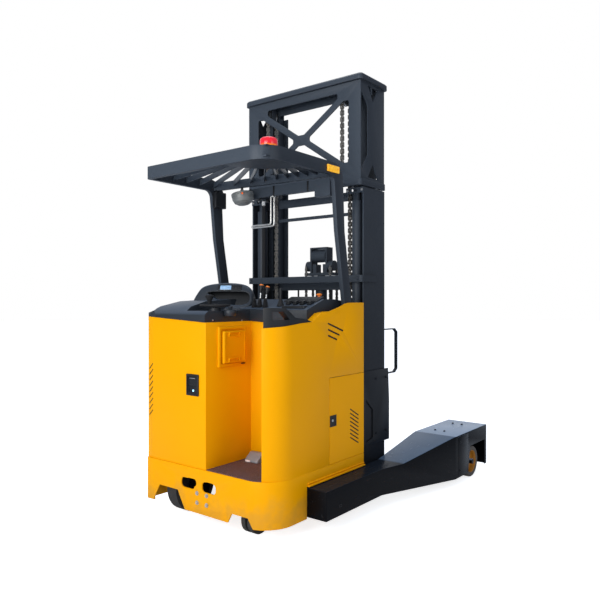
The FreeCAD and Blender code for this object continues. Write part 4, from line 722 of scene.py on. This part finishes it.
cast_metal, lens_pale = cast_grey(), pale_lens()
pedal = softened("foot_pedal", 4, 3)
fit("pedal_casting", [pedal], cast_metal, "chassis", ("foot_pedal",), 40)
tread = turn(block((306, 346), (-162, -70), (386, 391), 2, 2), -36, "Y", (326, 0, 388))
fit("pedal_tread", [tread], rubber, "chassis")
fit("pedal_lens", [block((296, 301), (-108, -68), (370, 382), 1.5, 2)], lens_pale, "chassis")


# Rear vents: nine slanting black strips laid on the hood's rear face near its left end, as painted
# shade of the vent slots.
PITCH = 39
strip = block((-27, 27), (-1.2, 0.8), (-2.6, 2.6), 0.9, 2)
strip.data.transform(Matrix.Translation(-mm(0, 0, 0)))
strip.rotation_euler = (0, math.radians(-45), math.radians(-91))
strip.location = mm(0.6, 520, 668)
bpy.ops.object.transform_apply(location=True, rotation=True)
slots = copies(strip, [(0, 0, PITCH * k) for k in range(1, 9)])
fit("rear_vent_shade_strips", slots, rubber, "chassis")


# Panel and door vents: a black sheet behind the slanting slots of the side panel, and eight black
# strips set in those of the battery door, both painted shade of the openings.
slot_shade_sheet = block((530, 750), (-541.5, -539), (1140, 1300), 1, 1)
fit("panel_slot_shade", [slot_shade_sheet], rubber, "chassis")
slot_shade_strip = turn(block((806, 924), (-547.2, -543), (471, 480), 2, 2), 28, "Y", (865, 0, 475.5))
slot_shade_strips = copies(slot_shade_strip, [(0, 0, 27 * k) for k in range(1, 8)])
fit("door_slot_shade", slot_shade_strips, rubber, "side_door")


# Sill lips: two rolled edges on each side where the side sheets stand on the skirt's ledge.
SHEET_SIDE = 543
lips = []
for sign in (-1, 1):
    for out, low, high in ((561, 279, 291), (553, 295, 304)):
        sides = sorted((sign * out, sign * SHEET_SIDE))
        lips.append(block((342, 984), sides, (low, high), 4, 3))
fit("sill_lips", lips, yellow, "chassis")


# Service panel on the left side: a yellow sheet cover over the battery lead, held by four
# bolts, with a black pull recess.
cover = sink(block((560, 930), (545.5, 549), (470, 1130), 3, 2), (0, 1, 0), 10, 1)
fit("service_panel", [cover], yellow, "chassis")
cover_bolts = copies(bolt((580, 548.5, 492), (0, 1, 0), 6),
                     [(0, 0, 616), (330, 0, 0), (330, 0, 616)])
fit("service_bolts", cover_bolts, zinc, "chassis")
pull = sink(block((716, 776), (548, 551), (960, 1000), 2, 2), (0, 1, 0), 5, 2)
fit("service_pull", [pull], dark_plastic, "chassis")


# Mast, carriage and guard: rolled channel and plate in a satin charcoal coat, scuffed, with
# painted light and shade: its upper and rear faces are painted lighter, as painted highlight, and
# it is painted near black low down, as painted shade.
def mast_paint():
    paint = Finish("charcoal_paint", 0.42, Specular_IOR_Level=0.2)
    broad, fine = paint.noise(3.5), paint.noise(160, 3)
    streak = paint.noise(14, 3, stretch=(1, 1, 0.05))
    scuffs = paint.step(paint.noise(22, 6, 0.7), 0.68, 0.8)
    low_down = 1 - paint.step(paint.along("Z"), 0.5, 2.2)
    colour = paint.tint(broad, (0.023, 0.028, 0.035), (0.033, 0.039, 0.049))
    # Painted highlight: faces that look up, and faces that look back towards the key lamp, are
    # tinted lighter.
    colour = paint.tint(paint.facing("Z"), colour, (0.050, 0.057, 0.070))
    colour = paint.tint(paint.facing("X", -1), colour, (0.052, 0.064, 0.080))
    # Painted shade: the coat is tinted near black towards the bottom.
    colour = paint.tint(low_down * 0.9, colour, (0.003, 0.003, 0.004))
    colour = paint.tint(scuffs * 0.2, colour, (0.10, 0.10, 0.10))
    return paint.skin(colour, 0.34 + 0.16 * streak + 0.1 * scuffs, fine, 0.15, 0.0005)


charcoal = mast_paint()
coat(("guard_slats", "header_beam", "mast_outer", "mast_tie_bar",
      "lift_cylinders", "lift_rods", "hose_guard", "mast_middle", "mast_inner",
      "free_lift_head", "lift_carriage", "side_shift_frame", "fork_carrier", "battery_block"),
     charcoal)
fit("guard_rim", [softened("guard_frame", 4, 3)], charcoal, "chassis", ("guard_frame",))
fit("mast_head", [softened("mast_top_frame", 3, 2)], charcoal, "middle_mast",
    ("mast_top_frame",))
fit("carriage_plates", [softened("reach_carriage", 2, 2)], charcoal, "reach_mast",
    ("reach_carriage",))


# Trunking joints: three moulded clips and two cable glands on the beam behind the slats.
clips = copies(block((633, 640), (-330, -316), (2153, 2227), 2, 2), [(0, 300, 0), (0, 520, 0)])
gland = lathe([(0, 0), (9, 0), (9, 10), (6, 12), (6, 22), (0, 22)],
              (654, -80, 2156), (0, 0, -1), 16)
glands = copies(gland, [(0, 200, 0)])
fit("trunking_clips", [*clips, *glands], dark_plastic, "chassis")


# Warning light: a red lens over an orange bulb housing, on a black foot.
def red_lens():
    lens = Finish("red_lens", 0.12, Specular_IOR_Level=0.6, Emission_Strength=0.25)
    flutes = lens.noise(30, 1, stretch=(1, 1, 4))
    heart = lens.step(1 - lens.along("Z"), -1.358, -1.344) * lens.step(flutes, 0.35, 0.6)
    colour = lens.tint(heart, (0.80, 0.010, 0.025), (0.95, 0.25, 0.01))
    lens.feed(lens.shader.inputs["Emission Color"], colour)
    return lens.skin(colour, None, flutes, 0.1, 0.0004)


lens_red = red_lens()
BEACON = (130, -415, 2320)
dome = lathe([(0, 8), (52, 8), (53, 12), (53, 58), (50, 67), (42, 73), (24, 74), (0, 74)],
             BEACON, steps=40)
rings = lathe([(53, 14), (55, 17), (53, 20), (55, 24), (53, 28), (50, 28), (50, 14), (53, 14)],
              BEACON, steps=40)
fit("beacon_lens", [dome, rings], lens_red, "chassis", ("roof_beacon",), 40)
foot = lathe([(0, 0), (55, 0), (55.5, 6), (52, 9), (0, 9)], (130, -415, 2320.2), steps=36)
fit("beacon_foot", [foot], dark_plastic, "chassis")


# Work light: a spun aluminium bowl with rolled rings, tilted on its stalk, with a red tail spot
# beside it and the black relay box on the left pillar.
def spun_metal():
    metal = Finish("spun_metal", 0.45, 0.55)
    rings = metal.noise(30, 2, stretch=(0.2, 0.2, 9))
    colour = metal.tint(rings, (0.15, 0.16, 0.16), (0.30, 0.30, 0.28))
    return metal.skin(colour, 0.4 + 0.2 * rings, rings, 0.2, 0.0004)


bowl_profile = [(0, 0), (30, 2), (46, 7), (49, 6), (51, 9), (66, 21), (69, 20), (71, 24), (79, 45),
                (81, 45), (82, 50), (84, 76), (86, 78), (86, 96), (82, 96), (80, 92), (0, 92)]
LAMP_X, LAMP_Y = 538, 188
bowl = lathe([(0.92 * r, 0.84 * h) for r, h in bowl_profile], (LAMP_X, LAMP_Y, 2098), steps=40)
turn(bowl, -11, "X", (LAMP_X, LAMP_Y, 2190))
fit("work_light_bowl", [bowl], spun_metal(), "chassis", ("guard_lamps",), 30)
stalk = block((LAMP_X, 635), (LAMP_Y - 8, LAMP_Y + 8), (2192, 2203), 3, 2)
neck = lathe([(0, 0), (14, 0), (14, 12), (9, 18), (9, 34), (0, 34)], (LAMP_X, LAMP_Y, 2191),
             steps=20)
case = sink(block((556, 666), (470, 510), (2110, 2230), 6, 3), (-1, 0, 0), 8, 3)
cap = block((575, 640), (478, 502), (2228, 2244), 3, 2)
fit("light_stalk_and_relay", [stalk, neck, case, cap], dark_plastic, "chassis")
spot = lathe([(0, 3), (5, 2), (7, 0), (0, 0)], (472, 124, 2168), (-0.7, -0.68, 0), 16)
fit("tail_spot", [spot], lens_red, "chassis")


# Side markers: fluted amber lenses snapped on the outer sides of the roof rim.
def amber_lens():
    lens = Finish("amber_lens", 0.2, Specular_IOR_Level=0.6, Emission_Strength=0.35)
    flutes = lens.noise(60, 2, stretch=(3, 1, 1))
    colour = lens.tint(lens.step(flutes, 0.4, 0.6), (0.90, 0.36, 0.005), (1.0, 0.56, 0.03))
    lens.feed(lens.shader.inputs["Emission Color"], colour)
    return lens.skin(colour, None, flutes, 0.3, 0.0006)


base = block((552, 682), (-552, -540), (2252, 2296), 4, 3)
ribs = copies(block((560, 572), (-552.5, -539.5), (2256, 2292), 2, 2),
              [(18 * k, 0, 0) for k in range(1, 7)])
markers = copies(joined([base, *ribs]), [(-82, 1092, 0)])
fit("side_markers", markers, amber_lens(), "chassis")


# Entry handle: a hairpin of thin stainless tube that hangs from a flange under the trunking,
# its two limbs side by side and bent to an L.
def stainless():
    steel = Finish("stainless_tube", 0.28, 0.9)
    brushed = steel.noise(40, 3, stretch=(1, 1, 8))
    colour = steel.tint(brushed, (0.50, 0.49, 0.47), (0.74, 0.73, 0.70))
    return steel.skin(colour, 0.22 + 0.2 * brushed, brushed, 0.1, 0.0002)


def pipe(points, radius, bends=8):
    """A fixed pipe of one radius through drawing points, its corners bent."""
    line = bpy.data.curves.new("pipe", "CURVE")
    line.dimensions = "3D"
    line.bevel_depth = radius / 1000
    line.bevel_resolution = 5
    line.use_fill_caps = True
    spline = line.splines.new("NURBS")
    spline.points.add(len(points) - 1)
    for knot, point in zip(spline.points, points):
        knot.co = (*mm(*point), 1)
    spline.order_u = 3
    spline.use_endpoint_u = True
    spline.resolution_u = bends
    run = bpy.data.objects.new("pipe", line)
    bpy.context.collection.objects.link(run)
    hold(run)
    bpy.ops.object.convert(target="MESH")
    return bpy.context.object


polished = stainless()
loop = [(-19, 2155), (-19, 2000), (-19, 1946), (27, 1946), (157, 1946), (190, 1946), (190, 1960),
        (157, 1960), (40, 1960), (11, 1960), (11, 2010), (11, 2155)]
HANDLE_X = 646
handle = pipe([(HANDLE_X, y, z) for y, z in loop], 6)
flange = lathe([(0, 0), (20, 0), (20, 5), (13, 8), (0, 8)], (HANDLE_X, -9, 2155.5), (0, 0, -1),
               24)
fit("handle_tube", [handle, flange], polished, "chassis", ("entry_handle",), 40)


# Legs, reach barrel and forks: thick plate under a glossy black enamel, scratched by pallets, with
# a painted reflection of the sky on its upper faces: faint at the rear, stronger on the legs'
# ramps and strongest on the wheel boxes.
# Where the painted reflection on the upper faces grows stronger, in metres along X: the ramp, then
# the wheel box.
RAMP_START, BOX_START = -0.07, 0.50


def leg_paint():
    paint = Finish("black_enamel", 0.3, Specular_IOR_Level=0.08)
    broad, fine = paint.noise(4), paint.noise(120, 3)
    scratches = paint.step(paint.noise(60, 2, stretch=(0.05, 1, 1)), 0.66, 0.74)
    colour = paint.tint(broad, (0.002, 0.002, 0.003), (0.005, 0.005, 0.006))
    colour = paint.tint(scratches * 0.12, colour, (0.08, 0.08, 0.08))
    # Painted reflection: faces that look up are tinted blue-grey, lighter on the ramps and lightest
    # on the wheel boxes.
    painted_sky_sheen = paint.facing("Z") * (0.75 + 0.25 * paint.noise(7, 5))
    ramp, box = (paint.step(paint.along("X"), start, start + 0.03)
                 for start in (RAMP_START, BOX_START))
    colour = paint.tint(painted_sky_sheen * (0.1 + 0.9 * ramp), colour, (0.088, 0.136, 0.205))
    colour = paint.tint(painted_sky_sheen * box, colour, (0.25, 0.33, 0.44))
    return paint.skin(colour, 0.2 + 0.12 * broad + 0.2 * scratches, fine, 0.1, 0.0004)


enamel = leg_paint()
coat(("reach_barrel", "forks", "drive_yoke", "castor_fork"), enamel)
for side in ("left", "right"):
    fit("leg_" + side, [softened("straddle_leg_" + side, 6, 3)], enamel, "chassis",
        ("straddle_leg_" + side,))
    sign = 1 if side == "left" else -1
    face, track = sign * 875, sign * 692
    plate = block((1812, 2010), (face - 1, face + 2.5), (70, 372), 1.5, 2)
    fit("leg_plate_" + side, [plate], enamel, "chassis")
    heads = copies(bolt((1850, face + sign * 2, 110), (0, sign, 0), 7), [(0, 0, 220)])
    heads += copies(bolt((1905, sign * 640, 383), (0, 0, 1), 8),
                    [(0, sign * 80, 0), (335, 0, 0), (335, sign * 80, 0)])
    fit("leg_bolts_" + side, heads, dark_plastic, "chassis")
    jack = sink(block((470, 500), (track - 1.5, track + 1.5), (150, 166), 1.2, 2),
                (0, sign, 0), 3, 2)
    fit("leg_jack_point_" + side, [jack], rubber, "chassis")


# Wheels: polyurethane or rubber tyres bonded to cast hubs, told apart by their radius about
# the axle; the drive and castor wheels run under the tub, the load wheels in the legs.
def wheel_finish(name, axle, rim, hub, tyre):
    finish = Finish(name, 0.6)
    away = finish.node("ShaderNodeVectorMath", {"operation": "SUBTRACT"}, Vector=finish.place)
    away.inputs[1].default_value = axle
    flat = finish.node("ShaderNodeVectorMath", {"operation": "MULTIPLY"}, Vector=away.outputs[0])
    flat.inputs[1].default_value = (1, 0, 1)
    length = finish.node("ShaderNodeVectorMath", {"operation": "LENGTH"}, Vector=flat.outputs[0])
    radius = Mix(finish.tree, length.outputs["Value"])
    grime, fine = finish.noise(18, 5), finish.noise(220, 3)
    on_tyre = finish.step(radius, rim - 0.0005, rim + 0.0005)
    metal = finish.tint(grime, hub, tuple(0.6 * part for part in hub))
    tread = finish.tint(grime, tyre, tuple(0.55 * part for part in tyre))
    return finish.skin(finish.tint(on_tyre, metal, tread), 0.45 + 0.3 * on_tyre + 0.1 * grime,
                       fine, 0.3, 0.0006)


hub_yellow, tyre_grey = (0.55, 0.22, 0.01), (0.115, 0.095, 0.075)
def nut_ring(first, axis, size, radius, count):
    """Wheel nuts on a circle in the upright plane, from the foremost one."""
    steps = [(radius * math.cos(angle) - radius, 0, radius * math.sin(angle))
             for angle in (2 * math.pi * k / count for k in range(1, count))]
    return copies(bolt(first, axis, size), steps)


LOAD_X, LOAD_Y, LOAD_Z = 2125, 805, 123
for side, sign in (("left", 1), ("right", -1)):
    middle = (LOAD_X, sign * LOAD_Y, LOAD_Z)
    out = (0, sign, 0)
    finish = wheel_finish("load_wheel_" + side, mm(*middle), 0.088, hub_yellow, tyre_grey)
    tyre = lathe([(89, -48), (119, -48), (123, -42), (123, 42), (119, 48), (89, 48), (86, 44),
                  (82, 14), (40, 10), (40, 22), (21, 22), (21, -48), (89, -48)],
                 middle, out, 64)
    nuts = nut_ring((LOAD_X + 60, sign * (LOAD_Y + 10), LOAD_Z), out, 6, 60, 5)
    fit("load_tyre_" + side, [tyre], finish, "load_wheel_" + side[0],
        ("load_wheel_" + side,), 40)
    fit("load_nuts_" + side, nuts, zinc, "load_wheel_" + side[0])
DRIVE_X, DRIVE_Y, DRIVE_Z = 200, 345, 170
drive_finish = wheel_finish("drive_tyre", mm(DRIVE_X, DRIVE_Y, DRIVE_Z), 0.128,
                            (0.03, 0.03, 0.03), (0.030, 0.029, 0.028))
castor_finish = wheel_finish("castor_tyres", mm(154, -290, 88), 0.060, (0.20, 0.20, 0.20),
                             (0.045, 0.044, 0.042))
coat(("drive_wheel",), drive_finish)
coat(("castor_wheels",), castor_finish)
hub_nuts = nut_ring((DRIVE_X + 75, DRIVE_Y + 25, DRIVE_Z), (0, 1, 0), 7, 75, 8)
fit("drive_hub_nuts", hub_nuts, zinc, "drive_tyre")


# Lift chains: leaf chain, whose steel plates and pins are oiled and catch the light. The stage
# chains run over sheaves under the mast head; the free-lift chains end at their anchors.
def oiled_steel():
    steel = Finish("oiled_chain", 0.35, 0.85)
    grime, fine = steel.noise(120, 4), steel.noise(500, 2)
    colour = steel.tint(steel.step(grime, 0.4, 0.7), (0.32, 0.30, 0.27), (0.06, 0.055, 0.05))
    return steel.skin(colour, 0.25 + 0.4 * grime, fine, 0.15, 0.0002)


chain_steel = oiled_steel()


def leaf_chain(x, y, low, high, width=32, thick=15, pitch=23.0):
    """An upright run of leaf chain: two pitches are modelled and repeated by an array."""
    count = int((high - low) // (2 * pitch))
    parts = []
    for row, lift in ((-0.4, 0), (0.0, 0), (0.4, 0), (-0.2, 1), (0.2, 1)):
        middle, foot = y + row * width, low + lift * pitch
        parts.append(block((x - thick / 2, x + thick / 2), (middle - 2.4, middle + 2.4),
                           (foot + 2, foot + 1.5 * pitch), 2.2, 1))
    for k in range(2):
        parts.append(lathe([(0, -width / 2), (2.6, -width / 2), (2.6, width / 2), (0, width / 2)],
                           (x, y, low + pitch * (k + 0.5)), (0, 1, 0), 8))
    run = joined(parts)
    repeat = run.modifiers.new("pitches", "ARRAY")
    repeat.count = count
    repeat.use_relative_offset = False
    repeat.use_constant_offset = True
    repeat.constant_offset_displace = (0, 0, 2 * pitch / 1000)
    bpy.ops.object.modifier_apply(modifier="pitches")
    return run


SHEAVE_X, SHEAVE_Y, SHEAVE_Z = 1058, 350, 2868
ACROSS = [(0, 2 * SHEAVE_Y, 0)]
runs = []
for x, low in ((SHEAVE_X - 50, 2240), (SHEAVE_X + 50, 900)):
    runs += copies(leaf_chain(x, -SHEAVE_Y, low, SHEAVE_Z), ACROSS)
wrap = lathe([(46, -9), (54, -9), (54, 9), (46, 9), (46, -9)], (SHEAVE_X, -SHEAVE_Y, SHEAVE_Z),
             (0, 1, 0), 40)
pick(wrap, lambda face: True)
bpy.ops.mesh.bisect(plane_co=mm(SHEAVE_X, 0, SHEAVE_Z), plane_no=(0, 0, 1), clear_inner=True,
                    use_fill=True)
bpy.ops.object.mode_set(mode="OBJECT")
fit("stage_chains", runs + copies(wrap, ACROSS), chain_steel, "middle_mast", ("mast_chains",), 30)
sheave = lathe([(12, -8), (44, -8), (40, -6), (40, 6), (44, 8), (12, 8), (12, -8)],
               (SHEAVE_X, -SHEAVE_Y, SHEAVE_Z), (0, 1, 0), 32)
fit("stage_sheaves", copies(sheave, ACROSS), zinc, "middle_mast")
free_runs = []
for x, low in ((1191.7, 1002), (1280.5, 642)):
    free_runs += copies(leaf_chain(x, -115, low, 1682, 22, 12, 17), [(0, 230, 0)])
fit("free_lift_chains", free_runs, chain_steel, "free_lift", (), 30)


# Hydraulic hoses: rubber-covered hoses, two with crimped ends led up behind the outer stage and
# three between its uprights.
BAR_X, BESIDE = 1012, 13
rear_hose = pipe([(BAR_X, 395, z) for z in (600, 1200, 2100, 2212)], 8)
inner_hose = pipe([(1150, -160, z) for z in (560, 1100, 1570)], 7)
hoses = copies(rear_hose, [(0, BESIDE, 0)]) + copies(inner_hose, [(0, 15, 0), (0, 320, 0)])
fit("mast_hoses", hoses, rubber, "reach_mast", (), 50)
ferrule = lathe([(8, 0), (11, 0), (11, 34), (8, 34), (8, 0)], (BAR_X, 395, 612), steps=16)
ferrules = copies(ferrule, [(0, 0, 1558), (0, BESIDE, 0), (0, BESIDE, 1558)])
fit("hose_ferrules", ferrules, zinc, "reach_mast")


# Mast fixings: plated bolts through the outer stage's upper cross member, and painted ones in
# the carriage's side plates and at the ends of the tie bar.
heads = copies(bolt((BAR_X, -512, 2200), (-1, 0, 0), 7), [(0, y, 0) for y in (120, 904, 1024)])
fit("mast_bolts", heads, zinc, "reach_mast")
side_heads = copies(bolt((977, -500, 1576), (-1, 0, 0), 9), [(0, 1000, 0)])
for sign in (-1, 1):
    side_heads += copies(bolt((1170, sign * 534, 470), (0, sign, 0), 8),
                         [(140, 0, 0), (0, 0, 390), (140, 0, 390)])
fit("carriage_bolts", side_heads, charcoal, "reach_mast")


# Floor: a pale matt sheet that keeps the truck's shadow and fades into the white surround.
bpy.ops.mesh.primitive_circle_add(vertices=64, radius=40, fill_type="NGON")
floor = bpy.context.object
floor.name = "floor"
floor_paint = bpy.data.materials.new("floor")
floor_paint.use_nodes = True
tree = floor_paint.node_tree
matt = tree.nodes["Principled BSDF"]
matt.inputs["Base Color"].default_value = (0.86, 0.86, 0.86, 1)
matt.inputs["Roughness"].default_value = 0.9
rays = tree.nodes.new("ShaderNodeLightPath")
lift = tree.nodes.new("ShaderNodeEmission")
tree.links.new(rays.outputs["Is Camera Ray"], lift.inputs["Strength"])
lift.inputs["Color"].default_value = (0.78, 0.78, 0.78, 1)
both = tree.nodes.new("ShaderNodeAddShader")
tree.links.new(matt.outputs[0], both.inputs[0])
tree.links.new(lift.outputs[0], both.inputs[1])
tree.links.new(both.outputs[0], tree.nodes["Material Output"].inputs["Surface"])
floor.data.materials.append(floor_paint)
bpy.ops.object.select_all(action="DESELECT")
